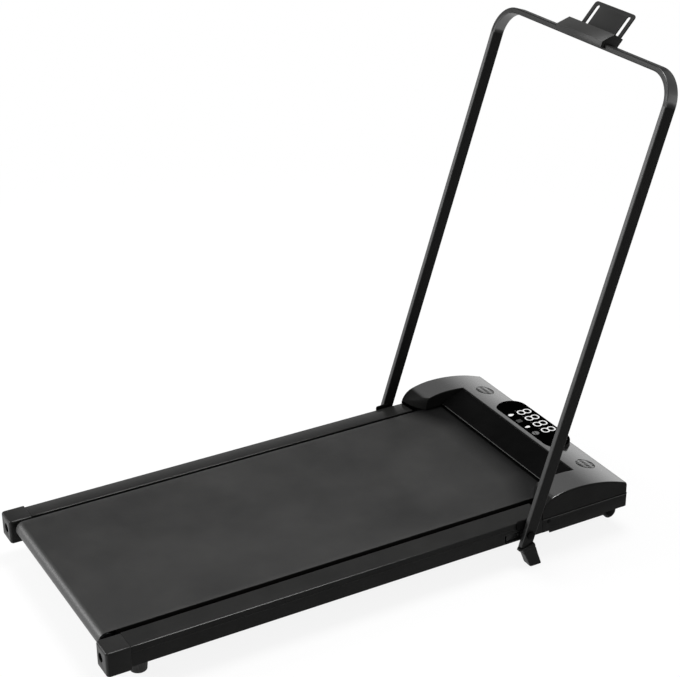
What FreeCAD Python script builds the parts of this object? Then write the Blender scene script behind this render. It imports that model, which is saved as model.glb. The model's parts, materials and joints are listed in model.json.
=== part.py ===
import FreeCAD, Part
import math
import os
import re
import Sketcher
from types import SimpleNamespace

# Walking pad: a flat motorised belt deck with a folding handrail and a phone holder.
# X runs to the user's right, Y forward to the hood, Z up from the floor.
# Pieces are drawn with y = 0 at the deck's rear end and stand back by origin_back.

sizes = {
    # Whole pad
    "deck_width": 500, "deck_length": 1042, "origin_back": 571.6, "overrun": 8, "running_gap": 0.3,
    "shaft_clearance": 0.05, "seat_gap": 0.2,
    # Side rails and their covers
    "frame_bottom": 47, "ledge_height": 73, "rail_tube_width": 37.2, "rail_wall": 1.5,
    "rail_side_gap": 0.3, "rail_top_width": 44.25, "rail_inner_height": 87.3, "rail_outer_height": 83.8,
    "rail_front_gap": 10.5, "skirt_wall": 2.5, "cover_wall": 2, "ledge_step": 1.5, "ledge_slope": 0.8,
    "cover_hook": 17,
    # Cross members, deck board and its fixings
    "member_width": 30, "member_height": 10, "member_wall": 1.2, "member_gap": 1.1, "board_thickness": 12,
    "board_gap": 0.3, "board_end_gap": 4, "board_edge": 1, "cushion_radius": 11, "cushion_inset": 125,
    "deck_screw_radius": 2, "deck_screw_grip": 8, "deck_screw_head_radius": 4, "deck_screw_head": 2,
    # Walking belt and rollers
    "belt_gap": 9.35, "belt_rise": 1.2, "belt_thickness": 1.6, "roller_radius": 13.7, "roller_wall": 2.5,
    "roller_margin": 1.6, "rear_roller_from_end": 24, "front_roller_from_front": 96, "axle_radius": 4,
    "bearing_width": 8, "bearing_inset": 1,
    # Rear caps, brackets, axle blocks and adjuster screws
    "cap_length": 43, "cap_inset": 45, "cap_proud": 1.5, "cap_bottom": 40, "cap_top": 86.5,
    "cap_wall": 2.5, "cap_round": 4, "cap_corner": 6, "cap_hole_radius": 8.5, "adjuster_inset": 25,
    "adjuster_z": 65.4, "cap_peg_radius": 3.5, "cap_peg_inset": 10, "cap_peg_z": 57, "axle_slot": 12,
    "cap_seam": 0.5,
    "bracket_start": 8, "bracket_plate": 3, "bracket_length": 82, "bracket_top": 80, "bracket_inset": 0.5,
    "block_width": 16, "block_length": 24, "block_top": 81, "adjuster_radius": 3, "adjuster_grip": 7,
    "adjuster_head_radius": 5, "adjuster_head": 5.3, "adjuster_socket": 2.6, "adjuster_socket_depth": 3,
    # Front axle blocks and drive
    "front_block_width": 14, "front_block_top": 80, "pulley_width": 10, "drive_radius": 20,
    "flange_height": 2.3, "flange_width": 1.2, "drive_belt_thickness": 1.5, "motor_from_front": 39,
    "motor_axis_height": 74.5, "motor_radius": 20, "motor_length": 115, "motor_end": 28, "motor_wall": 3,
    "motor_shaft_radius": 4, "armature_radius": 15, "armature_gap": 16, "motor_pulley_radius": 8,
    "mount_plate": 3, "mount_length": 36, "saddle_width": 14, "saddle_height": 13, "saddle_length": 32,
    # Controller
    "board_from_side": 220, "board_width": 140, "board_length": 34, "pcb_thickness": 1.6,
    "standoff_height": 4.5, "standoff_radius": 3, "standoff_inset": 6, "sink_width": 60,
    "sink_length": 30, "sink_height": 22, "sink_base": 4, "sink_fin": 2, "sink_inset": 20,
    # Hood
    "hood_length": 192, "hood_height": 46.5, "hood_wall": 2.5, "hood_step": 1, "hood_corner": 4,
    "arm_width": 61, "recess_top_from_front": 83, "recess_lip": 4.5, "recess_run": 51.6,
    "recess_foot_gap": 7.5, "nose_length": 21, "nose_round": 14, "nose_foot": 90, "nose_top": 118,
    "panel_thickness": 2.5, "panel_gap": 0.3,
    "belt_clearance": 1.3, "pan_floor_length": 137, "pan_lip_drop": 4.5, "pan_lip_from_tip": 17,
    "pan_lip_length": 120, "hood_screw_from_tip": 14, "hood_screw_height": 67, "hood_screw_radius": 2,
    "hood_screw_head_radius": 4, "hood_screw_head": 0.4, "hood_screw_length": 9,
    # Display and speakers
    "display_half_length": 102, "display_depth": 64, "display_from_front": 43, "display_height": 115.5,
    "pod_height": 19, "pod_wall": 2, "lens_thickness": 2, "display_board_drop": 6, "speaker_inset": 79,
    "speaker_from_front": 41, "grille_radius": 19, "grille_thickness": 2, "grille_rise": 0.4,
    "driver_radius": 17, "driver_cone_radius": 9, "driver_depth": 13,
    # Power switch, reset button and mains inlet
    "switch_behind_pivot": 47, "switch_length": 38.5, "switch_bottom": 49.2, "switch_height": 17.5,
    "switch_depth": 19, "switch_recess": 4.4, "switch_border": 1.2, "switch_inset": 0.6,
    "rocker_length": 20, "rocker_height": 11, "rocker_depth": 9, "rocker_start": 6, "rocker_rise": 2.5,
    "rocker_pin_radius": 1.5, "rocker_pin": 1.5, "rocker_room": 1.2, "button_radius": 3.8,
    "button_start": 33, "button_rise": 2.5, "button_depth": 8, "inlet_inset": 62, "inlet_width": 28,
    "inlet_height": 20, "inlet_depth": 20, "inlet_bottom": 51, "inlet_wall": 2, "inlet_pin_width": 2,
    "inlet_pin_height": 5, "inlet_pin_length": 9, "inlet_pin_spread": 7,
    # Feet and transport wheels
    "foot_bar_inset": 10, "foot_bar_length": 40, "foot_bar_thickness": 4, "rear_bar_start": 54,
    "front_bar_from_front": 136, "foot_radius": 19, "foot_sole_radius": 15, "rear_foot_inset": 52,
    "front_foot_inset": 100, "wheel_radius": 13.5, "wheel_width": 16, "wheel_inset": 25,
    "wheel_from_front": 25, "wheel_height": 32.5, "wheel_axle_radius": 3, "fork_thickness": 3,
    "fork_gap": 0.5, "fork_length": 16, "fork_round": 7.5,
    # Handrail
    "pivot_behind_hood": 36, "pivot_height": 61.4, "handrail_lean": 18, "tube_width": 10.2,
    "tube_depth": 24.2, "tube_wall": 1.5, "tube_round": 2.2, "handrail_reach": 861.3, "bend_radius": 58,
    "tube_foot": 26, "spigot_length": 40, "spigot_gap": 0.15, "hinge_plate": 3.4, "hinge_length": 34,
    "hinge_front": 12, "hinge_leg": 19.5, "hinge_bottom": 48, "hinge_arm_bottom": 69, "hinge_top": 89,
    "hinge_round": 4, "bolt_radius": 5, "bolt_head_radius": 7.5, "bolt_head": 3.4, "bolt_inner": 12,
    "nut_radius": 8, "nut_height": 6, "bush_wall": 1.5, "bush_gap": 0.25,
    # Rubber boots at the foot of the handrail
    "boot_inner_gap": 0.8, "boot_top_width": 17, "boot_sole_width": 22.5, "boot_sole_start": -3.5,
    "boot_sole_length": 24.7, "boot_collar_rear_y": -18.7, "boot_collar_rear_z": 36.5,
    "boot_collar_front_y": 8.5, "boot_collar_front_z": 44.5, "boot_plug": 16,
    # Phone holder and its slotted plate
    "holder_half": 67.5, "holder_lip": 7.5, "holder_lip_drop": 7, "holder_lip_rise": 4.3,
    "holder_ridge_v": 2.8, "holder_ridge": 20.4, "holder_front_v": 24.6, "holder_front": 14.8,
    "plate_lean": 23.9, "plate_half": 58.5, "plate_above": 49.5, "plate_below": 20,
    "plate_thickness": 2.5, "plate_corner": 7, "slot_x": 45, "slot_width": 9.2, "slot_margin": 6.5,
    "guide_below": 8.5, "guide_radius": 2.5, "guide_head_radius": 6.2, "guide_head": 2.5, "guide_grip": 8,
    "clamp_width": 7.5, "clamp_drop": 7.5, "clamp_screw_radius": 1.5,
    "clamp_screw_head_radius": 2.6, "clamp_screw_head": 1.8, "clamp_screw_length": 22,
}

# Sizes that follow the deck's own, worked out in the sheet
followers = {
    "handrail_width": "deck_width + 2 * (hinge_plate + 2 * bush_gap + tube_width)",
    "roller_length": "deck_width - 2 * (rail_top_width + belt_gap - roller_margin)",
    "cushion_spread": "deck_width - 2 * cushion_inset",
    "foot_bar_width": "deck_width - 2 * foot_bar_inset",
    "cap_inner": "deck_width / 2 - cap_inset",
    "cap_outer": "deck_width / 2 + cap_proud",
    "adjuster_x": "deck_width / 2 - adjuster_inset",
    "cap_peg_x": "deck_width / 2 - cap_peg_inset",
    "recess_half": "deck_width / 2 - arm_width",
    "recess_top_height": "ledge_height + hood_height - recess_lip",
    "recess_drop": "recess_top_height - rail_inner_height - belt_rise - recess_foot_gap",
    "speaker_x": "deck_width / 2 - speaker_inset",
    "board_left": "deck_width / 2 - board_from_side",
    "inlet_x": "deck_width / 2 - inlet_inset",
    "rear_foot_x": "deck_width / 2 - rear_foot_inset",
    "front_foot_x": "deck_width / 2 - front_foot_inset",
    "wheel_x": "deck_width / 2 - wheel_inset",
    "pan_floor_start": "deck_length - pan_floor_length",
    "front_bar_start": "deck_length - front_bar_from_front",
    "pivot_from_front": "hood_length + pivot_behind_hood",
    "switch_start": "deck_length - pivot_from_front - switch_behind_pivot",
}

# Shares that place repeated or curved features on the sizes they follow
member_shares = (0.07, 0.36, 0.64, 0.93)
hood_side_shares = ((0, 0.37), (0.042, 0.66), (0.13, 0.867), (0.245, 0.965), (0.37, 1), (0.68, 0.874),
                    (0.966, 0.53), (0.99, 0.48), (1, 0.39))
nose_mid_share = 0.32
sink_fin_count = 6
socket_sides = 6

doc = FreeCAD.newDocument("walking_pad")
sheet = doc.addObject("Spreadsheet::Sheet", "Sizes")
rows = {alias: str(number) for alias, number in sizes.items()}
rows.update({alias: f"={formula}" for alias, formula in followers.items()})
for row, (alias, cell) in enumerate(rows.items(), 1):
    sheet.set(f"A{row}", alias)
    sheet.set(f"B{row}", cell)
    sheet.setAlias(f"B{row}", alias)
doc.recompute()
s = SimpleNamespace(**{alias: float(sheet.get(alias)) for alias in rows})
V = FreeCAD.Vector
nodes = []

# Places that several pieces share, written in the sheet's names
half = "(deck_width / 2)"
rail_out = f"({half} - skirt_wall - rail_side_gap)"
rail_in = f"({rail_out} - rail_tube_width)"
cover_in = f"({half} - rail_top_width)"
belt_half = f"({cover_in} - belt_gap)"
belt_top = "(rail_inner_height + belt_rise)"
belt_outer = "(roller_radius + running_gap + belt_thickness)"
belt_inner = "(roller_radius + running_gap)"
roller_z = f"({belt_top} - {belt_outer})"
rear_axis = "rear_roller_from_end"
front_axis = "(deck_length - front_roller_from_front)"
rail_start = "(cap_length + cap_seam)"
rail_end = "(deck_length - hood_corner - rail_front_gap)"
tip = "(deck_length - hood_length)"
board_top = f"({belt_top} - belt_thickness - board_gap)"
board_bottom = f"({board_top} - board_thickness)"
board_start = f"({rear_axis} + roller_radius + board_end_gap)"
board_end = f"({front_axis} - roller_radius - board_end_gap)"
member_bottom = f"({roller_z} - {belt_inner} + member_gap)"
member_top = f"({member_bottom} + member_height)"
cavity_floor = "(frame_bottom + rail_wall)"
pan_top = "(frame_bottom + hood_wall)"
mount_top = f"({pan_top} + mount_plate)"
motor_y = "(deck_length - motor_from_front)"
pivot_y = "(deck_length - pivot_from_front)"
tube_out = "(handrail_width / 2)"
tube_in = f"({tube_out} - tube_width)"
roller_half = "(roller_length / 2)"


def bound(text):
    return re.sub(r"[A-Za-z_]\w*", lambda word: f"Sizes.{word[0]}" if word[0] in rows else word[0], text)


def bind(piece, **places):
    for field, text in places.items():
        piece.setExpression(field.replace("__", "."), bound(text))


def box(name, x, y, z, on_rail=False):
    """A block between two places on each axis."""
    piece = doc.addObject("Part::Box", name)
    back = "" if on_rail else " - origin_back"
    bind(piece, Length=f"{x[1]} - ({x[0]})", Width=f"{y[1]} - ({y[0]})", Height=f"{z[1]} - ({z[0]})",
         Placement__Base__x=x[0], Placement__Base__y=y[0] + back, Placement__Base__z=z[0])
    return piece


turns = {"x": (V(0, 1, 0), 90), "y": (V(1, 0, 0), -90), "z": (V(0, 0, 1), 0)}


def rod(name, axis, span, across, radius, on_rail=False, top_radius=None):
    """A round bar along an axis, or a cone where it has a second radius; across is its other two places."""
    piece = doc.addObject("Part::Cone" if top_radius else "Part::Cylinder", name)
    piece.Placement = FreeCAD.Placement(V(), FreeCAD.Rotation(*turns[axis]))
    if top_radius:
        bind(piece, Radius1=radius, Radius2=top_radius)
    else:
        bind(piece, Radius=radius)
    at = list(across)
    at.insert("xyz".index(axis), span[0])
    back = "" if on_rail else " - origin_back"
    bind(piece, Height=f"{span[1]} - ({span[0]})", Placement__Base__x=at[0],
         Placement__Base__y=at[1] + back, Placement__Base__z=at[2])
    return piece


def socket(name, span, across, radius):
    """A six-sided pocket along Y."""
    piece = doc.addObject("Part::Prism", name)
    piece.Polygon = socket_sides
    piece.Placement = FreeCAD.Placement(V(), FreeCAD.Rotation(*turns["y"]))
    bind(piece, Circumradius=radius, Height=f"{span[1]} - ({span[0]})", Placement__Base__x=across[0],
         Placement__Base__y=f"{span[0]} - origin_back", Placement__Base__z=across[1])
    return piece


def cut(name, base, *tools):
    piece = doc.addObject("Part::Cut", name)
    piece.Base = base
    piece.Tool = tools[0] if len(tools) == 1 else fuse(f"{name}_tools", *tools)
    return piece


def fuse(name, *pieces):
    whole = doc.addObject("Part::MultiFuse", name)
    whole.Shapes = list(pieces)
    whole.Refine = True
    return whole


def group(name, *pieces):
    whole = doc.addObject("Part::Compound", name)
    whole.Links = list(pieces)
    return whole


def mirror(name, piece):
    other = doc.addObject("Part::Mirroring", name)
    other.Source = piece
    other.Normal = V(1, 0, 0)
    return other


def pair(name, piece):
    return group(name, piece, mirror(f"{name}_mirrored", piece))


def rounded(name, piece, axis, radius, keep=lambda edge: True):
    """Rounds the edges that run along one axis."""
    doc.recompute()
    along = {"x": V(1, 0, 0), "y": V(0, 1, 0), "z": V(0, 0, 1)}[axis]
    edges = [index for index, edge in enumerate(piece.Shape.Edges, 1)
             if abs(edge.tangentAt(edge.FirstParameter).dot(along)) > 0.99 and keep(edge)]
    whole = doc.addObject("Part::Fillet", name)
    whole.Base = piece
    whole.Edges = [(index, radius, radius) for index in edges]
    return whole


def feature(name, shape, on_rail=False):
    piece = doc.addObject("Part::Feature", name)
    piece.Shape = shape
    if not on_rail:
        piece.Placement = FreeCAD.Placement(V(0, -s.origin_back, 0), FreeCAD.Rotation())
    return piece


def lean(piece):
    """Stands a handrail piece, drawn upright on its pivot, at the pivot with the rail's lean."""
    piece.Placement = FreeCAD.Placement(V(), FreeCAD.Rotation(V(1, 0, 0), -s.handrail_lean))
    bind(piece, Placement__Base__y=f"{pivot_y} - origin_back", Placement__Base__z="pivot_height",
         Placement__Rotation__Angle="-handrail_lean")
    return piece


def node(label, piece):
    piece.Label = label
    nodes.append(piece)
    return piece


def profile_body(name, corners, start, end):
    """A body padded along Y from a closed outline of corners in X and Z."""
    body = doc.addObject("PartDesign::Body", name)
    sketch = body.newObject("Sketcher::SketchObject", f"{name}_outline")
    plane = [each for each in body.Origin.OriginFeatures if each.Role == "XZ_Plane"][0]
    sketch.AttachmentSupport = [(plane, "")]
    sketch.MapMode = "FlatFace"
    count = len(corners)
    turn = 2 * math.pi / count
    loop = [V(s.deck_width * math.cos(turn * step), s.deck_width * math.sin(turn * step), 0)
            for step in range(count)]
    for step in range(count):
        sketch.addGeometry(Part.LineSegment(loop[step], loop[(step + 1) % count]), False)
    for step in range(count):
        sketch.addConstraint(Sketcher.Constraint("Coincident", step, 2, (step + 1) % count, 1))
    for step, corner in enumerate(corners):
        for kind, first, text in (("DistanceX", loop[step].x, corner[0]),
                                  ("DistanceY", loop[step].y, corner[1])):
            made = sketch.addConstraint(Sketcher.Constraint(kind, -1, 1, step, 1, first))
            sketch.setExpression(f"Constraints[{made}]", bound(text))
    pad = body.newObject("PartDesign::Pad", f"{name}_pad")
    pad.Profile = sketch
    pad.Reversed = True
    bind(pad, Length=f"{end} - ({start})")
    bind(body, Placement__Base__y=f"{start} - origin_back")
    return body


def outline(points, arcs=()):
    """A face in Y and Z from points in turn; an index in arcs is the middle of an arc."""
    edges = []
    place = [V(0, y, z) for y, z in points]
    count = len(place)
    step = 0
    while step < count:
        ahead = place[(step + 1) % count]
        if step + 1 in arcs:
            edges.append(Part.Arc(place[step], ahead, place[(step + 2) % count]).toShape())
            step += 2
        else:
            edges.append(Part.LineSegment(place[step], ahead).toShape())
            step += 1
    return Part.Face(Part.Wire(edges))


def across_x(face, low, high):
    moved = face.copy()
    moved.translate(V(low, 0, 0))
    return moved.extrude(V(high - low, 0, 0))


def make_rails():
    outer = box("rail_outside", (rail_in, rail_out), (rail_start, rail_end),
                ("frame_bottom", "ledge_height"))
    hollow = box("rail_hollow", (f"{rail_in} + rail_wall", f"{rail_out} - rail_wall"),
                 (f"{rail_start} - overrun", f"{rail_end} + overrun"),
                 (cavity_floor, "ledge_height - rail_wall"))
    seat = box("front_block_seat", (f"{rail_in} + rail_wall",
                                    f"{rail_in} + rail_wall + front_block_width + seat_gap"),
               (f"{front_axis} - block_length / 2 - seat_gap",
                f"{front_axis} + block_length / 2 + seat_gap"),
               ("ledge_height - rail_wall - overrun / 2", "ledge_height + overrun"))
    notch = box("front_axle_notch", (f"{rail_in} - overrun", f"{rail_in} + rail_wall + overrun / 2"),
                (f"{front_axis} - axle_radius - running_gap", f"{front_axis} + axle_radius + running_gap"),
                (f"{roller_z} - axle_radius - running_gap", "ledge_height + overrun"))
    bolt = rod("rail_bolt_hole", "x", (f"{rail_out} - rail_wall - overrun", f"{rail_out} + overrun"),
               (pivot_y, "pivot_height"), "bolt_radius + running_gap")
    screw = rod("rail_screw_hole", "x", (f"{rail_out} - rail_wall - overrun", f"{rail_out} + overrun"),
                (f"{tip} + hood_screw_from_tip", "hood_screw_height"), "hood_screw_radius + shaft_clearance")
    rail = cut("rail_plain", outer, hollow, seat, notch, bolt, screw)
    opening = box("rail_switch_opening", (f"{rail_out} - rail_wall - overrun / 2", f"{rail_out} + overrun"),
                  ("switch_start - seat_gap", "switch_start + switch_length + seat_gap"),
                  ("switch_bottom - seat_gap", "switch_bottom + switch_height + seat_gap"))
    node("frame_rail_right", cut("rail_right", rail, opening))
    node("frame_rail_left", mirror("rail_left", rail))


def make_rail_covers():
    under = "rail_outer_height - cover_wall"
    corners = [(half, "frame_bottom"), (half, "ledge_height - ledge_slope"),
               (f"{half} - ledge_step", "ledge_height"), (f"{half} - ledge_step", "rail_outer_height"),
               (cover_in, "rail_inner_height"), (cover_in, "rail_inner_height - cover_hook"),
               (f"{cover_in} + cover_wall", "rail_inner_height - cover_hook"),
               (f"{cover_in} + cover_wall", "rail_inner_height - cover_wall"),
               (f"{half} - ledge_step - cover_wall", under),
               (f"{half} - ledge_step - cover_wall", "ledge_height + running_gap"),
               (f"{half} - skirt_wall", "ledge_height + running_gap"),
               (f"{half} - skirt_wall", "frame_bottom")]
    body = profile_body("rail_cover", corners, rail_start, f"{tip} - cap_seam")
    bolt = rod("cover_bolt_hole", "x", (f"{half} - skirt_wall - overrun", f"{half} + overrun"),
               (pivot_y, "pivot_height"), "bolt_radius + running_gap")
    cover = cut("rail_cover_plain", body, bolt)
    opening = box("cover_switch_opening", (f"{half} - skirt_wall - overrun", f"{half} + overrun"),
                  ("switch_start - seat_gap", "switch_start + switch_length + seat_gap"),
                  ("switch_bottom - seat_gap", "switch_bottom + switch_height + seat_gap"))
    node("rail_cover_right", cut("cover_right", cover, opening))
    node("rail_cover_left", mirror("cover_left", cover))


def deck_fixings():
    """The places of the deck's screws and cushions, in X and Y."""
    spots = []
    for share in member_shares:
        y = f"({board_start} + ({board_end} - {board_start}) * {share})"
        spots += [("-cushion_spread / 2", y), ("cushion_spread / 2", y)]
    return spots


def make_deck():
    spots = deck_fixings()
    drills = [rod(f"deck_drill_{count}", "z", (f"{member_top} - member_wall - overrun / 2",
                  f"{board_bottom} + deck_screw_grip"), spot, "deck_screw_radius + shaft_clearance")
              for count, spot in enumerate(spots)]
    members = []
    for count, share in enumerate(member_shares):
        y = f"({board_start} + ({board_end} - {board_start}) * {share})"
        span = (f"{y} - member_width / 2", f"{y} + member_width / 2")
        outer = box(f"member_outside_{count}", (f"-{rail_in}", rail_in), span, (member_bottom, member_top))
        hollow = box(f"member_hollow_{count}", (f"-{rail_in} - overrun", f"{rail_in} + overrun"),
                     (f"{span[0]} + member_wall", f"{span[1]} - member_wall"),
                     (f"{member_bottom} + member_wall", f"{member_top} - member_wall"))
        members.append(cut(f"member_{count}", outer, hollow, *drills[2 * count:2 * count + 2]))
    node("cross_members", group("members", *members))
    board = box("board", (f"-{belt_half} + board_edge", f"{belt_half} - board_edge"),
                (board_start, board_end),
                (board_bottom, board_top))
    node("deck_board", cut("board_drilled", board, *drills))
    cushions = []
    screws = []
    for count, spot in enumerate(spots):
        pad = rod(f"cushion_pad_{count}", "z", (member_top, board_bottom), spot, "cushion_radius")
        cushions.append(cut(f"cushion_{count}", pad, drills[count]))
        under = f"{member_top} - member_wall"
        shank = rod(f"deck_shank_{count}", "z", (under, f"{board_bottom} + deck_screw_grip - running_gap"),
                    spot,
                    "deck_screw_radius")
        head = rod(f"deck_head_{count}", "z", (f"{under} - deck_screw_head", under), spot,
                   "deck_screw_head_radius")
        screws.append(fuse(f"deck_screw_{count}", shank, head))
    node("deck_cushions", group("cushions", *cushions))
    node("deck_screws", group("deck_screw_set", *screws))


def belt_loop(name, radius, reach):
    """A flat-sided loop round both rollers."""
    run = box(f"{name}_run", (f"-{reach}", reach), (rear_axis, front_axis),
              (f"{roller_z} - {radius}", f"{roller_z} + {radius}"))
    ends = [rod(f"{name}_{place}", "x", (f"-{reach}", reach), (y, roller_z), radius)
            for place, y in (("rear", rear_axis), ("front", front_axis))]
    return fuse(name, run, *ends)


def make_belt():
    node("walking_belt", cut("belt", belt_loop("belt_outside", belt_outer, belt_half),
                             belt_loop("belt_inside", belt_inner, f"({belt_half} + overrun)")))


def make_roller(name, y):
    """A roller tube with a bearing ring in each end, turning on a fixed axle."""
    bore = "(roller_radius - roller_wall)"
    tube = rod(f"{name}_tube", "x", (f"-{roller_half}", roller_half), (y, roller_z), "roller_radius")
    hollow = rod(f"{name}_bore", "x", (f"-{roller_half} - overrun", f"{roller_half} + overrun"),
                 (y, roller_z), bore)
    node(f"{name}_roller", cut(f"{name}_roller_tube", tube, hollow))
    start = f"({roller_half} - bearing_inset - bearing_width)"
    ring = rod(f"{name}_ring", "x", (start, f"{start} + bearing_width"), (y, roller_z), bore)
    hole = rod(f"{name}_ring_hole", "x", (f"{start} - overrun", f"{start} + bearing_width + overrun"),
               (y, roller_z),
               "axle_radius + shaft_clearance")
    node(f"{name}_bearings", pair(f"{name}_bearing_pair", cut(f"{name}_bearing", ring, hole)))


def make_rear_end():
    outside = box("cap_outside", ("cap_inner", "cap_outer"), ("0", "cap_length"), ("cap_bottom", "cap_top"))
    at_rear = -s.origin_back

    def rear_edge(edge):
        return abs(edge.CenterOfMass.y - at_rear) < s.overrun

    soft = rounded("cap_soft_sides", outside, "z", s.cap_corner, rear_edge)
    soft = rounded("cap_soft", soft, "x", s.cap_round, rear_edge)
    hollow = box("cap_hollow", ("cap_inner + cap_wall", "cap_outer - cap_wall"),
                 ("cap_wall", "cap_length + overrun"),
                 ("cap_bottom + cap_wall", "cap_top - cap_wall"))
    hole = rod("cap_hole", "y", ("-overrun", "cap_wall + overrun"), ("adjuster_x", "adjuster_z"),
               "cap_hole_radius")
    slot = box("cap_axle_slot", ("cap_inner - overrun", "cap_inner + cap_wall + overrun"),
               (f"{rear_axis} - axle_slot / 2", "cap_length + overrun"),
               (f"{roller_z} - axle_slot / 2", f"{roller_z} + axle_slot / 2"))
    shell = cut("cap_shell", soft, hollow, hole, slot)
    peg = rod("cap_peg", "y", ("cap_wall / 2", "bracket_start"), ("cap_peg_x", "cap_peg_z"),
              "cap_peg_radius")
    cap = fuse("cap", shell, peg)
    node("rear_cap_right", cap)
    node("rear_cap_left", mirror("cap_left", cap))

    inside = f"({rail_in} + rail_wall + bracket_inset)"
    outside = f"({rail_out} - rail_wall - bracket_inset)"
    tongue_top = f"({cavity_floor} + bracket_plate)"
    tongue = box("bracket_tongue", (inside, outside), ("bracket_start", "bracket_start + bracket_length"),
                 (cavity_floor, tongue_top))
    plate = box("bracket_plate", (inside, outside), ("bracket_start", "bracket_start + bracket_plate"),
                (cavity_floor, "bracket_top"))
    drill = rod("bracket_drill", "y", ("bracket_start - overrun", "bracket_start + bracket_plate + overrun"),
                ("adjuster_x", "adjuster_z"), "adjuster_radius + seat_gap")
    node("rear_brackets", pair("bracket_pair", cut("bracket", fuse("bracket_plain", tongue, plate), drill)))

    block_rear = f"({rear_axis} - block_length / 2)"
    block = box("rear_block", ("adjuster_x - block_width / 2", "adjuster_x + block_width / 2"),
                (block_rear, f"{block_rear} + block_length"), (tongue_top, "block_top"))
    bore = rod("rear_block_bore", "x", ("adjuster_x - block_width", "adjuster_x + block_width"),
               (rear_axis, roller_z),
               "axle_radius + shaft_clearance")
    thread = rod("rear_block_thread", "y", (f"{block_rear} - overrun",
                                            f"{block_rear} + adjuster_grip + running_gap"),
                 ("adjuster_x", "adjuster_z"), "adjuster_radius + shaft_clearance")
    node("rear_axle_blocks", pair("rear_block_pair", cut("rear_block_bored", block, bore, thread)))

    reach = "(adjuster_x + block_width / 2)"
    node("rear_axle", rod("rear_axle_bar", "x", (f"-{reach}", reach), (rear_axis, roller_z), "axle_radius"))

    for side, x in (("right", "adjuster_x"), ("left", "-adjuster_x")):
        at = (x, "adjuster_z")
        head_rear = "bracket_start - adjuster_head"
        shank = rod(f"adjuster_shank_{side}", "y", ("bracket_start", f"{block_rear} + adjuster_grip"), at,
                    "adjuster_radius")
        head = rod(f"adjuster_head_{side}", "y", (head_rear, "bracket_start"), at, "adjuster_head_radius")
        key = socket(f"adjuster_key_{side}", (f"{head_rear} - overrun",
                                              f"{head_rear} + adjuster_socket_depth"), at,
                     "adjuster_socket")
        node(f"adjuster_screw_{side}", cut(f"adjuster_{side}", fuse(f"adjuster_plain_{side}", shank, head),
                                           key))


def make_front_drive():
    block_in = f"({rail_in} + rail_wall)"
    block = box("front_block", (block_in, f"{block_in} + front_block_width"),
                (f"{front_axis} - block_length / 2", f"{front_axis} + block_length / 2"),
                (cavity_floor, "front_block_top"))
    bore = rod("front_block_bore", "x", (f"{block_in} - overrun",
                                         f"{block_in} + front_block_width + overrun"),
               (front_axis, roller_z), "axle_radius + shaft_clearance")
    node("front_axle_blocks", pair("front_block_pair", cut("front_block_bored", block, bore)))
    reach = f"({block_in} + front_block_width)"
    node("front_axle", rod("front_axle_bar", "x", (f"-{reach}", reach), (front_axis, roller_z),
                           "axle_radius"))

    span = (f"-{roller_half} - pulley_width", f"-{roller_half}")
    make_pulley("drive_pulley", span, (front_axis, roller_z), "drive_radius",
                "axle_radius + shaft_clearance")
    motor_at = (motor_y, "motor_axis_height")
    make_pulley("motor_pulley", span, motor_at, "motor_pulley_radius", "motor_shaft_radius")

    can_end = "-motor_end"
    can_start = "(-motor_end - motor_length)"
    can = rod("motor_outside", "x", (can_start, can_end), motor_at, "motor_radius")
    hollow = rod("motor_hollow", "x", (f"{can_start} + motor_wall", f"{can_end} - motor_wall"), motor_at,
                 "motor_radius - motor_wall")
    bore = rod("motor_bore", "x", (f"{can_start} - overrun", f"{can_end} + overrun"), motor_at,
               "motor_shaft_radius + shaft_clearance")
    node("motor_can", cut("motor_shell", can, hollow, bore))
    shaft = rod("shaft_bar", "x", (span[0], can_end), motor_at, "motor_shaft_radius")
    core = rod("armature_core", "x", (f"{can_start} + armature_gap", f"{can_end} - armature_gap"), motor_at,
               "armature_radius")
    node("motor_armature", fuse("armature", shaft, core))
    node("drive_belt", feature("drive_belt_loop", drive_belt_shape()))

    plate = box("mount_plate_bar", (f"-{rail_in}", rail_in),
                (f"{motor_y} - mount_length / 2", f"{motor_y} + mount_length / 2"), (pan_top, mount_top))
    saddles = [box(f"saddle_{count}", (x, f"{x} + saddle_width"),
                   (f"{motor_y} - saddle_length / 2", f"{motor_y} + saddle_length / 2"),
                   (f"{mount_top} - mount_plate / 2", f"{mount_top} + saddle_height"))
               for count, x in enumerate((f"{can_start} + saddle_width", f"{can_end} - 2 * saddle_width"))]
    seat = rod("saddle_seat", "x", (f"{can_start} - overrun", f"{can_end} + overrun"), motor_at,
               "motor_radius + seat_gap")
    node("motor_mount", cut("mount", fuse("mount_plain", plate, *saddles), seat))


def make_pulley(name, span, at, radius, hole):
    """A flat belt wheel with a flange on each face."""
    rim = rod(f"{name}_rim", "x", span, at, radius)
    flanges = [rod(f"{name}_flange_{count}", "x", ends, at, f"{radius} + flange_height")
               for count, ends in enumerate(((span[0], f"{span[0]} + flange_width"),
                                             (f"{span[1]} - flange_width", span[1])))]
    bore = rod(f"{name}_bore", "x", (f"{span[0]} - overrun", f"{span[1]} + overrun"), at, hole)
    node(name, cut(f"{name}_wheel", fuse(f"{name}_plain", rim, *flanges), bore))


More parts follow.
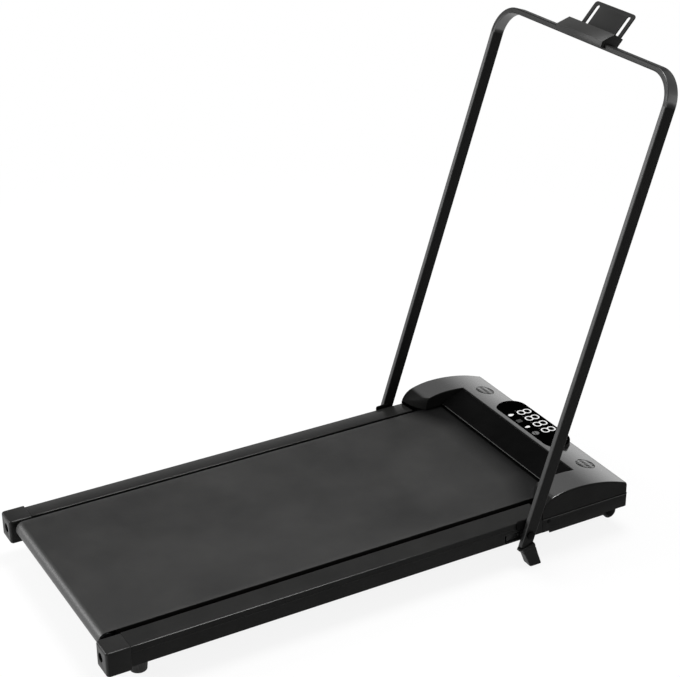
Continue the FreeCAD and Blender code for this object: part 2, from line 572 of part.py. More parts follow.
def drive_belt_shape():
    """Two arcs round the pulleys, joined by their outer tangents."""
    near_z = s.rail_inner_height + s.belt_rise - s.belt_thickness - s.running_gap - s.roller_radius
    near = V(0, s.deck_length - s.front_roller_from_front, near_z)
    far = V(0, s.deck_length - s.motor_from_front, s.motor_axis_height)
    line = far - near
    angle = math.atan2(line.z, line.y)

    def loop(gap):
        big, small = s.drive_radius + gap, s.motor_pulley_radius + gap
        spread = math.acos((big - small) / line.Length)

        def at(centre, radius, turn):
            return centre + V(0, radius * math.cos(turn), radius * math.sin(turn))

        up, down = angle + spread, angle - spread
        edges = [Part.Arc(at(near, big, up), at(near, big, angle + math.pi), at(near, big, down)).toShape(),
                 Part.LineSegment(at(near, big, down), at(far, small, down)).toShape(),
                 Part.Arc(at(far, small, down), at(far, small, angle), at(far, small, up)).toShape(),
                 Part.LineSegment(at(far, small, up), at(near, big, up)).toShape()]
        return Part.Face(Part.Wire(edges))

    inner = s.running_gap
    low = -s.roller_length / 2 - s.pulley_width + s.flange_width + s.running_gap
    high = -s.roller_length / 2 - s.flange_width - s.running_gap
    solid = across_x(loop(inner + s.drive_belt_thickness), low, high)
    return solid.cut(across_x(loop(inner), low - s.overrun, high + s.overrun))


def make_controller():
    base = f"({mount_top} + standoff_height)"
    x = ("board_left", "board_left + board_width")
    y = (f"{motor_y} - board_length / 2", f"{motor_y} + board_length / 2")
    board = box("pcb", x, y, (base, f"{base} + pcb_thickness"))
    posts = [rod(f"standoff_{across}_{along}", "z", (mount_top, base), (px, py), "standoff_radius")
             for across, px in enumerate((f"{x[0]} + standoff_inset", f"{x[1]} - standoff_inset"))
             for along, py in enumerate((f"{y[0]} + standoff_inset", f"{y[1]} - standoff_inset"))]
    node("control_board", fuse("control_board_posts", board, *posts))
    foot = f"({base} + pcb_thickness)"
    sink_x = "(board_left + sink_inset)"
    sink_y = (f"{motor_y} - sink_length / 2", f"{motor_y} + sink_length / 2")
    plate = box("sink_plate", (sink_x, f"{sink_x} + sink_width"), sink_y, (foot, f"{foot} + sink_base"))
    fins = []
    for count in range(sink_fin_count):
        fin_x = f"({sink_x} + (sink_width - sink_fin) * {count} / {sink_fin_count - 1})"
        fins.append(box(f"sink_fin_{count}", (fin_x, f"{fin_x} + sink_fin"), sink_y,
                        (foot, f"{foot} + sink_height")))
    node("heat_sink", fuse("sink", plate, *fins))


def hood_side(inset):
    """The hood's side outline: a blunt nose, a rise to the peak, a long fall and a soft front edge."""
    start = s.deck_length - s.hood_length
    points = [(start + s.hood_length * along, s.ledge_height + s.hood_height * up)
              for along, up in hood_side_shares]
    points += [(s.deck_length, s.ledge_height), (start, s.ledge_height)]
    face = outline(points, arcs=(1, 3, 5, 7))
    return face.makeOffset2D(-inset) if inset else face


def nose_arc(half_width):
    """Three places along the right arm's nose from above, from the recess to the outer side."""
    start = s.deck_length - s.hood_length
    mid_x = s.recess_half + (half_width - s.recess_half) * (1 - nose_mid_share)
    mid_y = start + s.nose_length * nose_mid_share ** 2
    return [V(s.recess_half, start + s.nose_length, 0), V(mid_x, mid_y, 0), V(half_width, start, 0)]


def nose_trim(half_width, inset):
    """What the soft upper edge takes off the right nose: the space outside a dome round the nose's centre."""
    curve = Part.Arc(*nose_arc(half_width)).toShape().Curve
    x, y, reach = curve.Center.x, curve.Center.y, curve.Radius - inset
    low, high = s.nose_foot - inset, s.nose_top - inset
    ceiling = s.ledge_height + s.hood_height + s.overrun
    share, shoulder = math.sqrt(0.5), y + reach - s.nose_round
    face = outline([(y, s.frame_bottom), (y + reach, s.frame_bottom), (y + reach, low),
                    (shoulder + s.nose_round * share, low + (high - low) * share), (shoulder, high),
                    (shoulder, ceiling), (y, ceiling)], (3,))
    face.translate(V(x, 0, 0))
    dome = face.revolve(V(x, y, 0), V(0, 0, 1), 360)
    start = s.deck_length - s.hood_length
    return brick(V(s.recess_half - s.overrun, start - s.overrun, s.frame_bottom),
                 V(half_width + s.overrun, start + s.nose_length + 2 * s.nose_round, ceiling)).cut(dome)


def hood_plan(half_width, inset):
    """The hood from above: rounded front corners and arms whose noses curve forward to the recess."""
    front, round_ = s.deck_length, s.hood_corner
    bulge = round_ * (1 - math.sqrt(0.5))
    right = nose_arc(half_width) + [V(half_width, front - round_, 0), V(half_width - bulge, front - bulge, 0),
                                    V(half_width - round_, front, 0)]
    left = [V(-point.x, point.y, 0) for point in reversed(right)]
    edges = [Part.Arc(*right[:3]), Part.LineSegment(right[2], right[3]), Part.Arc(*right[3:]),
             Part.LineSegment(right[5], left[0]), Part.Arc(*left[:3]), Part.LineSegment(left[2], left[3]),
             Part.Arc(*left[3:]), Part.LineSegment(left[5], right[0])]
    face = Part.Face(Part.Wire([edge.toShape() for edge in edges]))
    return face.makeOffset2D(-inset) if inset else face


def brick(low, high):
    return Part.makeBox(high.x - low.x, high.y - low.y, high.z - low.z, low)


def recess_shape(half_width):
    """The space between the hood's arms, closed in front by the sloping panel's plane."""
    top = s.deck_length - s.recess_top_from_front
    rear = s.deck_length - s.hood_length - s.overrun
    foot = top - s.recess_run
    low, high = s.frame_bottom, s.ledge_height + s.hood_height + s.overrun
    face = outline([(rear, low), (foot, low), (foot, s.recess_top_height - s.recess_drop),
                    (top, s.recess_top_height), (top, high), (rear, high)])
    return across_x(face, -half_width, half_width)


def stadium(half_length, depth, y, low, high):
    round_ = depth / 2
    straight = half_length - round_
    core = brick(V(-straight, y - round_, low), V(straight, y + round_, high))
    ends = [Part.makeCylinder(round_, high - low, V(x, y, low)) for x in (-straight, straight)]
    return core.fuse(ends).removeSplitter()


def roof_height(y):
    """The hood's top surface at a place along it, on the long falling arc."""
    start = s.deck_length - s.hood_length
    peak, mid, end = [V(start + s.hood_length * along, s.ledge_height + s.hood_height * up, 0)
                      for along, up in hood_side_shares[4:7]]
    circle = Part.Arc(peak, mid, end).toShape().Curve
    centre, radius = circle.Center, circle.Radius
    return centre.y + math.sqrt(radius ** 2 - (y - centre.x) ** 2), (y - centre.x) / radius


def speaker_disc(radius, low, high):
    """A disc square to the hood's roof over one speaker, between two heights off the roof."""
    y = s.deck_length - s.speaker_from_front
    z, slope = roof_height(y)
    up = V(0, slope, math.sqrt(1 - slope ** 2))
    return Part.makeCylinder(radius, high - low, V(s.speaker_x, y, z) + up * low, up)


def mirrored(shape):
    return shape.mirror(V(0, 0, 0), V(1, 0, 0))


def make_hood():
    half_width = s.deck_width / 2 - s.hood_step
    ceiling = s.ledge_height + s.hood_height + s.overrun
    tip_y = s.deck_length - s.hood_length

    def body(inset):
        side = across_x(hood_side(inset), -half_width + inset, half_width - inset)
        plan = hood_plan(half_width, inset)
        plan.translate(V(0, 0, s.frame_bottom))
        trim = nose_trim(half_width, inset)
        return side.common(plan.extrude(V(0, 0, ceiling - s.frame_bottom))).cut([trim, mirrored(trim)])

    wall = s.hood_wall
    plan = hood_plan(half_width, wall)
    plan.translate(V(0, 0, s.ledge_height - s.overrun))
    room = body(wall).fuse(plan.extrude(V(0, 0, s.overrun + 2 * wall)))
    room = room.cut(recess_shape(s.recess_half + wall))
    belt_edge = s.deck_width / 2 - s.rail_top_width - s.belt_gap
    over_belt = s.rail_inner_height + s.belt_rise + s.belt_clearance
    panel_top = s.deck_length - s.recess_top_from_front
    passage = brick(V(-belt_edge - s.belt_clearance, tip_y - s.overrun, s.frame_bottom),
                    V(belt_edge + s.belt_clearance, panel_top, over_belt))
    cover = body(0).cut([recess_shape(s.recess_half), room, passage])
    display_y = s.deck_length - s.display_from_front
    display = stadium(s.display_half_length + s.seat_gap, s.display_depth + 2 * s.seat_gap, display_y,
                      s.ledge_height, ceiling)
    hole = speaker_disc(s.grille_radius + s.seat_gap, -2 * s.overrun, s.overrun)
    node("hood_cover", feature("hood_shell", cover.cut([display, hole, mirrored(hole)])))

    foot = panel_top - s.recess_run
    slope = V(0, s.recess_run, s.recess_drop).normalize()
    normal = V(0, slope.z, -slope.y)
    low = V(0, foot, s.recess_top_height - s.recess_drop)
    high = V(0, panel_top, s.recess_top_height) - slope * s.panel_gap
    corners = [low, high, high + normal * s.panel_thickness, low + normal * s.panel_thickness]
    corners = [corner + normal * s.panel_gap for corner in corners]
    lifted = max(s.rail_inner_height + s.belt_rise + s.belt_clearance - corners[3].z, 0)
    corners = [corners[0], corners[1], corners[2], corners[3] + slope * (lifted / slope.z)]
    face = outline([(corner.y, corner.z) for corner in corners])
    panel_half = s.recess_half + s.hood_wall - s.panel_gap
    node("inner_panel", feature("panel", across_x(face, -panel_half, panel_half).cut(cover)))

    pan_half = s.deck_width / 2
    outside = hood_plan(pan_half, 0)
    outside.translate(V(0, 0, s.frame_bottom))
    inside = hood_plan(pan_half, wall)
    inside.translate(V(0, 0, s.frame_bottom - s.overrun))
    height = s.ledge_height - s.frame_bottom
    ring = outside.extrude(V(0, 0, height)).cut(inside.extrude(V(0, 0, height + 2 * s.overrun)))
    rail_inner = pan_half - s.skirt_wall - s.rail_side_gap - s.rail_tube_width
    rail_outer = pan_half - wall
    nose = brick(V(-rail_outer, tip_y - s.overrun, s.frame_bottom - s.overrun),
                 V(rail_outer, tip_y + s.nose_length + 2 * wall, s.ledge_height + s.overrun))
    floor = brick(V(-rail_inner, s.pan_floor_start, s.frame_bottom),
                  V(rail_inner, s.deck_length - wall / 2, s.frame_bottom + wall))
    inlet_y = s.deck_length - wall
    inlet = brick(V(s.inlet_x - s.inlet_width / 2 - s.seat_gap, inlet_y - s.overrun,
                    s.inlet_bottom - s.seat_gap),
                  V(s.inlet_x + s.inlet_width / 2 + s.seat_gap, inlet_y + wall + s.overrun,
                    s.inlet_bottom + s.inlet_height + s.seat_gap))
    screw = Part.makeCylinder(s.hood_screw_radius + s.shaft_clearance, 2 * s.overrun,
                              V(pan_half - s.overrun, tip_y + s.hood_screw_from_tip, s.hood_screw_height),
                              V(1, 0, 0))
    lip_y = tip_y + s.pan_lip_from_tip
    lip = brick(V(pan_half - wall, lip_y, s.frame_bottom - s.pan_lip_drop),
                V(pan_half, lip_y + s.pan_lip_length, s.frame_bottom))
    pan = ring.cut(nose).fuse([floor, lip, mirrored(lip)]).removeSplitter()
    node("hood_base", feature("pan", pan.cut([inlet, screw, mirrored(screw)])))

    at = (f"{tip} + hood_screw_from_tip", "hood_screw_height")
    shank = rod("hood_screw_shank", "x", (f"{half} - hood_screw_length", half), at, "hood_screw_radius")
    head = rod("hood_screw_cap", "x", (half, f"{half} + hood_screw_head"), at, "hood_screw_head_radius")
    node("hood_screws", pair("hood_screw_pair", fuse("hood_screw", shank, head)))


def make_display():
    y = s.deck_length - s.display_from_front
    lens_low = s.display_height - s.lens_thickness
    pod_low = s.display_height - s.pod_height
    outside = stadium(s.display_half_length, s.display_depth, y, pod_low, lens_low)
    room = stadium(s.display_half_length - s.pod_wall, s.display_depth - 2 * s.pod_wall, y,
                   pod_low + s.pod_wall,
                   lens_low + s.overrun)
    ledge_low = lens_low - s.display_board_drop
    ledges = [brick(V(side * straight - s.pod_wall, y - s.display_depth / 2 + s.pod_wall / 2,
                      pod_low + s.pod_wall / 2),
                    V(side * straight + s.pod_wall, y + s.display_depth / 2 - s.pod_wall / 2, ledge_low))
              for side in (-1, 1) for straight in [s.display_half_length - s.display_depth / 2]]
    pod = outside.cut(room).fuse(ledges).removeSplitter()
    node("display_pod", feature("pod", pod))
    node("display_lens", feature("lens", stadium(s.display_half_length, s.display_depth, y, lens_low,
                                                 s.display_height)))
    reach = s.display_half_length - s.display_depth / 2 + s.pod_wall
    deep = s.display_depth / 2 - s.pod_wall - s.seat_gap
    node("display_board", feature("led_board", brick(V(-reach, y - deep, ledge_low),
                                                     V(reach, y + deep, ledge_low + s.pcb_thickness))))

    disc = speaker_disc(s.grille_radius, s.grille_rise - s.grille_thickness, s.grille_rise)
    node("speaker_grilles", feature("grilles", Part.makeCompound([disc, mirrored(disc)])))
    top = s.grille_rise - s.grille_thickness
    rim = speaker_disc(s.driver_radius, top - s.driver_depth / 3, top)
    magnet = speaker_disc(s.driver_cone_radius, top - s.driver_depth, top - s.driver_depth / 3)
    driver = rim.fuse(magnet).removeSplitter()
    node("speaker_drivers", feature("drivers", Part.makeCompound([driver, mirrored(driver)])))


def make_power():
    face = f"({half} - switch_inset)"
    floor = f"({face} - switch_recess)"
    back = f"({face} - switch_depth)"
    y = ("switch_start", "(switch_start + switch_length)")
    z = ("switch_bottom", "(switch_bottom + switch_height)")
    middle = "(switch_bottom + switch_height / 2)"
    body = box("switch_body", (back, face), y, z)
    recess = box("switch_face_recess", (floor, f"{face} + overrun"),
                 (f"{y[0]} + switch_border", f"{y[1]} - switch_border"),
                 (f"{z[0]} + switch_border", f"{z[1]} - switch_border"))
    rocker_y = "(switch_start + rocker_start + rocker_length / 2)"
    rocker_top = f"({floor} + rocker_rise)"
    pin_x = f"({rocker_top} - rocker_depth / 2)"
    room = box("rocker_well", (f"{rocker_top} - rocker_depth - rocker_room", f"{floor} + overrun"),
               (f"{rocker_y} - rocker_length / 2 - rocker_room",
                f"{rocker_y} + rocker_length / 2 + rocker_room"),
               (f"{middle} - rocker_height / 2 - running_gap",
                f"{middle} + rocker_height / 2 + running_gap"))
    pin_span = (f"{middle} - rocker_height / 2 - rocker_pin", f"{middle} + rocker_height / 2 + rocker_pin")
    pin_bore = rod("rocker_pin_bore", "z", (f"{pin_span[0]} - running_gap", f"{pin_span[1]} + running_gap"),
                   (pin_x, rocker_y), "rocker_pin_radius + shaft_clearance")
    button_at = ("(switch_start + button_start)", middle)
    button_back = f"({floor} + button_rise - button_depth)"
    button_bore = rod("button_bore", "x", (f"{button_back} - rocker_room - button_rise",
                                           f"{floor} + overrun"), button_at,
                      "button_radius + shaft_clearance")
    node("switch_housing", cut("switch_shell", body, recess, room, pin_bore, button_bore))
    paddle = box("rocker_paddle", (f"{rocker_top} - rocker_depth", rocker_top),
                 (f"{rocker_y} - rocker_length / 2", f"{rocker_y} + rocker_length / 2"),
                 (f"{middle} - rocker_height / 2", f"{middle} + rocker_height / 2"))
    pin = rod("rocker_pin_bar", "z", pin_span, (pin_x, rocker_y), "rocker_pin_radius")
    node("power_rocker", fuse("rocker", paddle, pin))
    node("reset_button", rod("button", "x", (button_back, f"{floor} + button_rise"), button_at,
                             "button_radius"))

    front = "deck_length"
    x = ("inlet_x - inlet_width / 2", "(inlet_x + inlet_width / 2)")
    z = ("inlet_bottom", "(inlet_bottom + inlet_height)")
    shell = box("inlet_outside", x, (f"{front} - inlet_depth", front), z)
    mouth = box("inlet_mouth", (f"{x[0]} + inlet_wall", f"{x[1]} - inlet_wall"),
                (f"{front} - inlet_depth + inlet_wall", f"{front} + overrun"),
                (f"{z[0]} + inlet_wall", f"{z[1]} - inlet_wall"))
    blades = []
    for count, (shift, lift) in enumerate((("-inlet_pin_spread", "0"), ("0", "inlet_pin_height / 2"),
                                           ("inlet_pin_spread", "0"))):
        bottom = f"(inlet_bottom + inlet_height / 2 - inlet_pin_height / 2 + {lift} - inlet_pin_height / 4)"
        blades.append(box(f"inlet_blade_{count}", (f"inlet_x + {shift} - inlet_pin_width / 2",
                                                   f"inlet_x + {shift} + inlet_pin_width / 2"),
                          (f"{front} - inlet_depth + inlet_wall / 2",
                           f"{front} - inlet_depth + inlet_wall + inlet_pin_length"),
                          (bottom, f"{bottom} + inlet_pin_height")))
    node("mains_inlet", fuse("inlet", cut("inlet_shell", shell, mouth), *blades))


def make_feet():
    bar_low = "(frame_bottom - foot_bar_thickness)"
    bars = [box(f"{name}_bar", ("-foot_bar_width / 2", "foot_bar_width / 2"),
                (start, f"{start} + foot_bar_length"),
                (bar_low, "frame_bottom"))
            for name, start in (("rear", "rear_bar_start"), ("front", "front_bar_start"))]
    node("foot_bars", group("foot_bar_pair", *bars))
    for name, start, x in (("rear", "rear_bar_start", "rear_foot_x"),
                           ("front", "front_bar_start", "front_foot_x")):
        foot = rod(f"{name}_foot", "z", ("0", bar_low), (x, f"{start} + foot_bar_length / 2"),
                   "foot_sole_radius",
                   top_radius="foot_radius")
        node(f"{name}_feet", pair(f"{name}_foot_pair", foot))

    wheel_y = "(deck_length - wheel_from_front)"
    at = (wheel_y, "wheel_height")
    cheek_in = "(wheel_x - wheel_width / 2 - fork_gap)"
    cheek_out = "(wheel_x + wheel_width / 2 + fork_gap)"
    cheeks = [box(f"fork_cheek_{count}", span, (f"{wheel_y} - fork_length / 2",
                                                f"{wheel_y} + fork_length / 2"),
                  ("wheel_height - fork_length / 2", "frame_bottom"))
              for count, span in enumerate(((f"{cheek_in} - fork_thickness", cheek_in),
                                            (cheek_out, f"{cheek_out} + fork_thickness")))]
    cheeks = [rounded(f"fork_round_{count}", cheek, "x", s.fork_round,
                      lambda edge: edge.CenterOfMass.z < s.wheel_height)
              for count, cheek in enumerate(cheeks)]
    axle = rod("fork_axle", "x", (f"{cheek_in} - fork_thickness", f"{cheek_out} + fork_thickness"), at,
               "wheel_axle_radius")
    node("wheel_forks", pair("fork_pair", fuse("fork", *cheeks, axle)))
    tyre = rod("wheel_tyre", "x", ("wheel_x - wheel_width / 2", "wheel_x + wheel_width / 2"), at,
               "wheel_radius")
    bore = rod("wheel_bore", "x", ("wheel_x - wheel_width", "wheel_x + wheel_width"), at,
               "wheel_axle_radius + shaft_clearance")
    wheel = cut("wheel", tyre, bore)
    node("wheel_right", wheel)
    node("wheel_left", mirror("wheel_mirrored", wheel))


def make_hinges():
    x = (half, f"{half} + hinge_plate")
    front = f"{pivot_y} + hinge_front"
    arm = box("hinge_arm", x, (f"{front} - hinge_length", front), ("hinge_arm_bottom", "hinge_top"))
    leg = box("hinge_leg_blank", x, (f"{front} - hinge_leg", front), ("hinge_bottom", "hinge_top"))
    soft = rounded("hinge_soft", fuse("hinge_blank", arm, leg), "x", s.hinge_round)
    bore = rod("hinge_bore", "x", (f"{half} - overrun", f"{half} + hinge_plate + overrun"),
               (pivot_y, "pivot_height"),
               "bolt_radius + running_gap")
    node("hinge_brackets", pair("hinge_pair", cut("hinge", soft, bore)))
    at = (pivot_y, "pivot_height")
    inner = f"({rail_out} - rail_wall - bolt_inner)"
    nut = rod("bolt_nut", "x", (f"{rail_out} - rail_wall - nut_height", f"{rail_out} - rail_wall"), at,
              "nut_radius")
    shank = rod("bolt_shank", "x", (inner, f"{tube_out} + bush_gap"), at, "bolt_radius")
    head = rod("bolt_cap", "x", (f"{tube_out} + bush_gap", f"{tube_out} + bush_gap + bolt_head"), at,
               "bolt_head_radius")
    node("pivot_bolts", pair("bolt_pair", fuse("bolt", nut, shank, head)))


def tube_section(shrink):
    """The handrail tube's rounded section at the right upright, on its own upright axes."""
    wide, deep = s.tube_width - 2 * shrink, s.tube_depth - 2 * shrink
    round_ = s.tube_round - shrink
    centre = s.handrail_width / 2 - s.tube_width / 2
    slab = Part.makeBox(wide, deep, s.overrun, V(centre - wide / 2, -deep / 2, 0))
    if round_ > 0:
        slab = slab.makeFillet(round_, [edge for edge in slab.Edges if abs(edge.tangentAt(0).z) > 0.99])
    return [face for face in slab.Faces if abs(face.CenterOfMass.z) < s.shaft_clearance][0]


def make_handrail():
    joint = s.handrail_reach - s.bend_radius

    def straight(shrink, low, high):
        face = tube_section(shrink)
        face.translate(V(0, 0, low))
        return face.extrude(V(0, 0, high - low))

    hole = Part.makeCylinder(s.bolt_radius + s.shaft_clearance + s.bush_wall, s.handrail_width,
                             V(0, 0, 0), V(1, 0, 0))
    tube = straight(0, -s.tube_foot, joint).cut([straight(s.tube_wall, -s.tube_foot - s.overrun,
                                                          joint + s.overrun), hole])
    node("upright_right", lean(feature("tube_right", tube, on_rail=True)))
    node("upright_left", lean(feature("tube_left", mirrored(tube), on_rail=True)))

    def bent(shrink):
        face = tube_section(shrink)
        face.translate(V(0, 0, joint))
        turn_x = s.handrail_width / 2 - s.bend_radius
        corner = face.revolve(V(turn_x, 0, joint), V(0, -1, 0), 90)
        end = face.copy()
        end.rotate(V(turn_x, 0, joint), V(0, -1, 0), 90)
        bar = end.extrude(V(-2 * turn_x, 0, 0))
        return corner.fuse([bar, mirrored(corner)]).removeSplitter()

    plug = straight(s.tube_wall + s.spigot_gap, joint - s.spigot_length, joint + s.tube_wall)
    root = straight(s.tube_wall / 2, joint, joint + s.tube_wall)
    bar = bent(0).cut(bent(s.tube_wall)).fuse([plug, mirrored(plug), root, mirrored(root)]).removeSplitter()
    node("top_bar", lean(feature("bar", bar, on_rail=True)))

    bush_in, bush_out = (f"({tube_in} - bush_gap)", tube_out)
    bush = rod("bush_outside", "x", (bush_in, bush_out), ("0", "0"),
               "bolt_radius + shaft_clearance + bush_wall", True)
    hole = rod("bush_hole", "x", (f"{bush_in} - overrun", f"{bush_out} + overrun"), ("0", "0"),
               "bolt_radius + shaft_clearance", True)
    node("pivot_bushes", lean(pair("bush_pair", cut("bush", bush, hole))))
    make_boots(tube)


def make_boots(tube):
    """Rubber boots that kick forward to a flat sole, each plugged into its upright."""
    pivot = V(0, s.deck_length - s.pivot_from_front, s.pivot_height)
    inner = s.deck_width / 2 + s.boot_inner_gap

    def ring(width, rear, front):
        corners = [V(inner, rear.y, rear.z), V(inner + width, rear.y, rear.z),
                   V(inner + width, front.y, front.z),
                   V(inner, front.y, front.z)]
        return Part.makePolygon(corners + corners[:1])

    sole_rear = V(0, pivot.y + s.boot_sole_start, 0)
    sole_front = sole_rear + V(0, s.boot_sole_length, 0)
    collar_rear = V(0, pivot.y + s.boot_collar_rear_y, s.boot_collar_rear_z)
    collar_front = V(0, pivot.y + s.boot_collar_front_y, s.boot_collar_front_z)
    boot = Part.makeLoft([ring(s.boot_sole_width, sole_rear, sole_front),
                          ring(s.boot_top_width, collar_rear, collar_front)], True, True)
    shrink = s.tube_wall + s.spigot_gap
    core = tube_section(shrink)
    core.translate(V(0, 0, -s.tube_foot - s.spigot_gap))
    plug = core.extrude(V(0, 0, s.boot_plug))
    around = tube_section(0)
    around.translate(V(0, 0, -s.tube_foot))
    stub = around.extrude(V(0, 0, s.handrail_reach))
    stand = FreeCAD.Placement(pivot, FreeCAD.Rotation(V(1, 0, 0), -s.handrail_lean))
    plug.Placement = stand.multiply(plug.Placement)
    stub.Placement = stand.multiply(stub.Placement)
    boot = boot.cut(stub).fuse(plug).removeSplitter()
    node("handrail_boots", feature("boots", Part.makeCompound([boot, mirrored(boot)])))


def plate_frame():
    """The slotted plate's origin on the holder's front edge, its upward direction and its outward normal."""
    turn = math.radians(s.plate_lean)
    edge = V(0, s.holder_front_v, s.handrail_reach + s.holder_front)
    return edge, V(0, math.sin(turn), math.cos(turn)), V(0, math.cos(turn), -math.sin(turn))


def make_phone_holder():
    edge, up, out = plate_frame()
    top = s.handrail_reach
    rear = -s.tube_depth / 2 - s.seat_gap
    seat = top + s.seat_gap
    foot = edge - up * ((edge.z - seat) / up.z)
    profile = [(rear - s.holder_lip, top - s.holder_lip_drop),
               (rear - s.holder_lip, top + s.holder_lip_rise),
               (s.holder_ridge_v, top + s.holder_ridge), (edge.y, edge.z), (foot.y, foot.z), (rear, seat),
               (rear, top - s.holder_lip_drop)]
    holder = across_x(outline(profile), -s.holder_half, s.holder_half)
    guide_seat = edge - up * s.guide_below
    guides = []
    drills = []
    for x in (-s.slot_x, s.slot_x):
        at = guide_seat + V(x, 0, 0)
        drills.append(Part.makeCylinder(s.guide_radius + s.shaft_clearance, s.guide_grip + s.overrun,
                                        at + out * s.overrun, out * -1))
        reach = s.guide_grip - s.running_gap + s.plate_thickness + 2 * s.running_gap
        start = at - out * (s.guide_grip - s.running_gap)
        shank = Part.makeCylinder(s.guide_radius, reach, start, out)
        head = Part.makeCylinder(s.guide_head_radius, s.guide_head, start + out * reach, out)
        guides.append(shank.fuse(head).removeSplitter())
    screw_x, screw_v = s.holder_half - s.clamp_width / 2, (s.tube_depth / 2 + foot.y) / 2
    strap_low = top - s.clamp_drop
    screws = []
    for x in (-screw_x, screw_x):
        foot_at = V(x, screw_v, strap_low)
        drills.append(Part.makeCylinder(s.clamp_screw_radius + s.shaft_clearance,
                                        s.clamp_screw_length + s.running_gap, foot_at))
        shank = Part.makeCylinder(s.clamp_screw_radius, s.clamp_screw_length, foot_at)
        head = Part.makeCylinder(s.clamp_screw_head_radius, s.clamp_screw_head,
                                 foot_at - V(0, 0, s.clamp_screw_head))
        screws.append(shank.fuse(head).removeSplitter())
    node("phone_holder", lean(feature("holder", holder.cut(drills), on_rail=True)))
    strap = brick(V(s.holder_half - s.clamp_width, s.tube_depth / 2 + s.seat_gap, strap_low),
                  V(s.holder_half, foot.y, seat - s.shaft_clearance)).cut(drills)
    node("holder_clamp", lean(feature("straps", Part.makeCompound([strap, mirrored(strap)]), on_rail=True)))
    node("holder_screws", lean(feature("screw_set", Part.makeCompound(guides + screws), on_rail=True)))

    low, high = -s.plate_below, s.plate_above
    blank = brick(V(-s.plate_half, 0, low), V(s.plate_half, s.plate_thickness, high))
    blank = blank.makeFillet(s.plate_corner, [line for line in blank.Edges
                                              if abs(line.tangentAt(0).y) > 0.99 and line.CenterOfMass.z > 0])
    slots = []
    for x in (-s.slot_x, s.slot_x):
        round_ = s.slot_width / 2
        ends = (low + s.slot_margin + round_, high - s.slot_margin - round_)
        slots.append(brick(V(x - round_, -s.overrun, ends[0]), V(x + round_, s.overrun, ends[1])))
        slots += [Part.makeCylinder(round_, 2 * s.overrun, V(x, -s.overrun, z), V(0, 1, 0)) for z in ends]
    for piece in [blank] + slots:
        piece.rotate(V(0, 0, 0), V(1, 0, 0), -s.plate_lean)
        piece.translate(edge + out * s.running_gap)
    node("phone_plate", lean(feature("slotted_plate", blank.cut(slots), on_rail=True)))


make_rails()
make_rail_covers()
make_deck()
make_belt()
make_roller("rear", rear_axis)
make_roller("front", front_axis)
make_rear_end()
make_front_drive()
make_controller()
make_hood()
make_display()
make_power()
make_feet()
make_hinges()
make_handrail()
make_phone_holder()

doc.recompute()
failed = [each.Label for each in doc.Objects if "Invalid" in each.State or "Error" in each.State]
if failed:
    raise RuntimeError(f"objects that failed to compute: {failed}")
for piece in nodes:
    if piece.Shape.isNull() or not piece.Shape.isValid() or not piece.Shape.Solids:
        raise RuntimeError(f"{piece.Label} has no valid solid")

os.makedirs("parts", exist_ok=True)
for piece in nodes:
    piece.Shape.exportStep(f"parts/{piece.Label}.step")
print(f"{len(nodes)} sub-parts written")
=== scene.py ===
import json
import math
import bmesh
import bpy
import numpy as np
from mathutils import Matrix


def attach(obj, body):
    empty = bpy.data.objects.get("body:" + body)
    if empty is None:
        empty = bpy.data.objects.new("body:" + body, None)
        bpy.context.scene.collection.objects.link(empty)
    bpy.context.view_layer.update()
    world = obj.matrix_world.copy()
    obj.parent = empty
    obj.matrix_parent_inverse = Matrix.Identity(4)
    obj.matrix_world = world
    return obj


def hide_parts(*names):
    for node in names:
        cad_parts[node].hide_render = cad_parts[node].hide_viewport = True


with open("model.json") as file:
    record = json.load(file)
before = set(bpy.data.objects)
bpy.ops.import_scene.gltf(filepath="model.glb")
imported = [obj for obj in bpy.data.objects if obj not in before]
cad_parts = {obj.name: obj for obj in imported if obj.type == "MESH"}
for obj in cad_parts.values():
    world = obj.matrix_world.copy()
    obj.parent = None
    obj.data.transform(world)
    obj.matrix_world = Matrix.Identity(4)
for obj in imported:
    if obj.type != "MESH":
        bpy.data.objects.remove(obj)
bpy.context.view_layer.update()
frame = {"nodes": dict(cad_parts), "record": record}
nodes = frame["nodes"]
print("frame loaded:", len(nodes), "pieces")

mm = 0.001
rearEnd = -0.5716  # y of the deck's rear end, the zero of every "along" below
quarter = math.pi / 2
plainWhite = (1, 1, 1, 1)


# Node helpers

def fillInputs(tree, node, values):
    # each input is linked to a socket or set to a plain value
    for label, value in values.items():
        if isinstance(value, bpy.types.NodeSocket):
            tree.links.new(value, node.inputs[label])
        else:
            node.inputs[label].default_value = value


def addNode(tree, kind, values=None, **settings):
    # a node with its settings made before its inputs are filled
    node = tree.nodes.new(kind)
    for name, setting in settings.items():
        setattr(node, name, setting)
    fillInputs(tree, node, values or {})
    return node


def newGroup(name, inputs, outputs):
    # a shader group with number sockets: its tree, the values given to it and what it puts out
    group = bpy.data.node_groups.new(name, "ShaderNodeTree")
    for label, start in inputs:
        socket = group.interface.new_socket(label, in_out="INPUT", socket_type="NodeSocketFloat")
        socket.default_value = start
    for label in outputs:
        group.interface.new_socket(label, in_out="OUTPUT", socket_type="NodeSocketFloat")
    return group, group.nodes.new("NodeGroupInput").outputs, group.nodes.new("NodeGroupOutput").inputs


def newMaterial(name):
    # a material with nodes, and its tree
    mat = bpy.data.materials.new(name)
    mat.use_nodes = True
    return mat, mat.node_tree


def mathNode(tree, operation, *values, clamp=False):
    # one sum on numbers or sockets
    node = addNode(tree, "ShaderNodeMath", dict(enumerate(values)), operation=operation, use_clamp=clamp)
    return node.outputs[0]


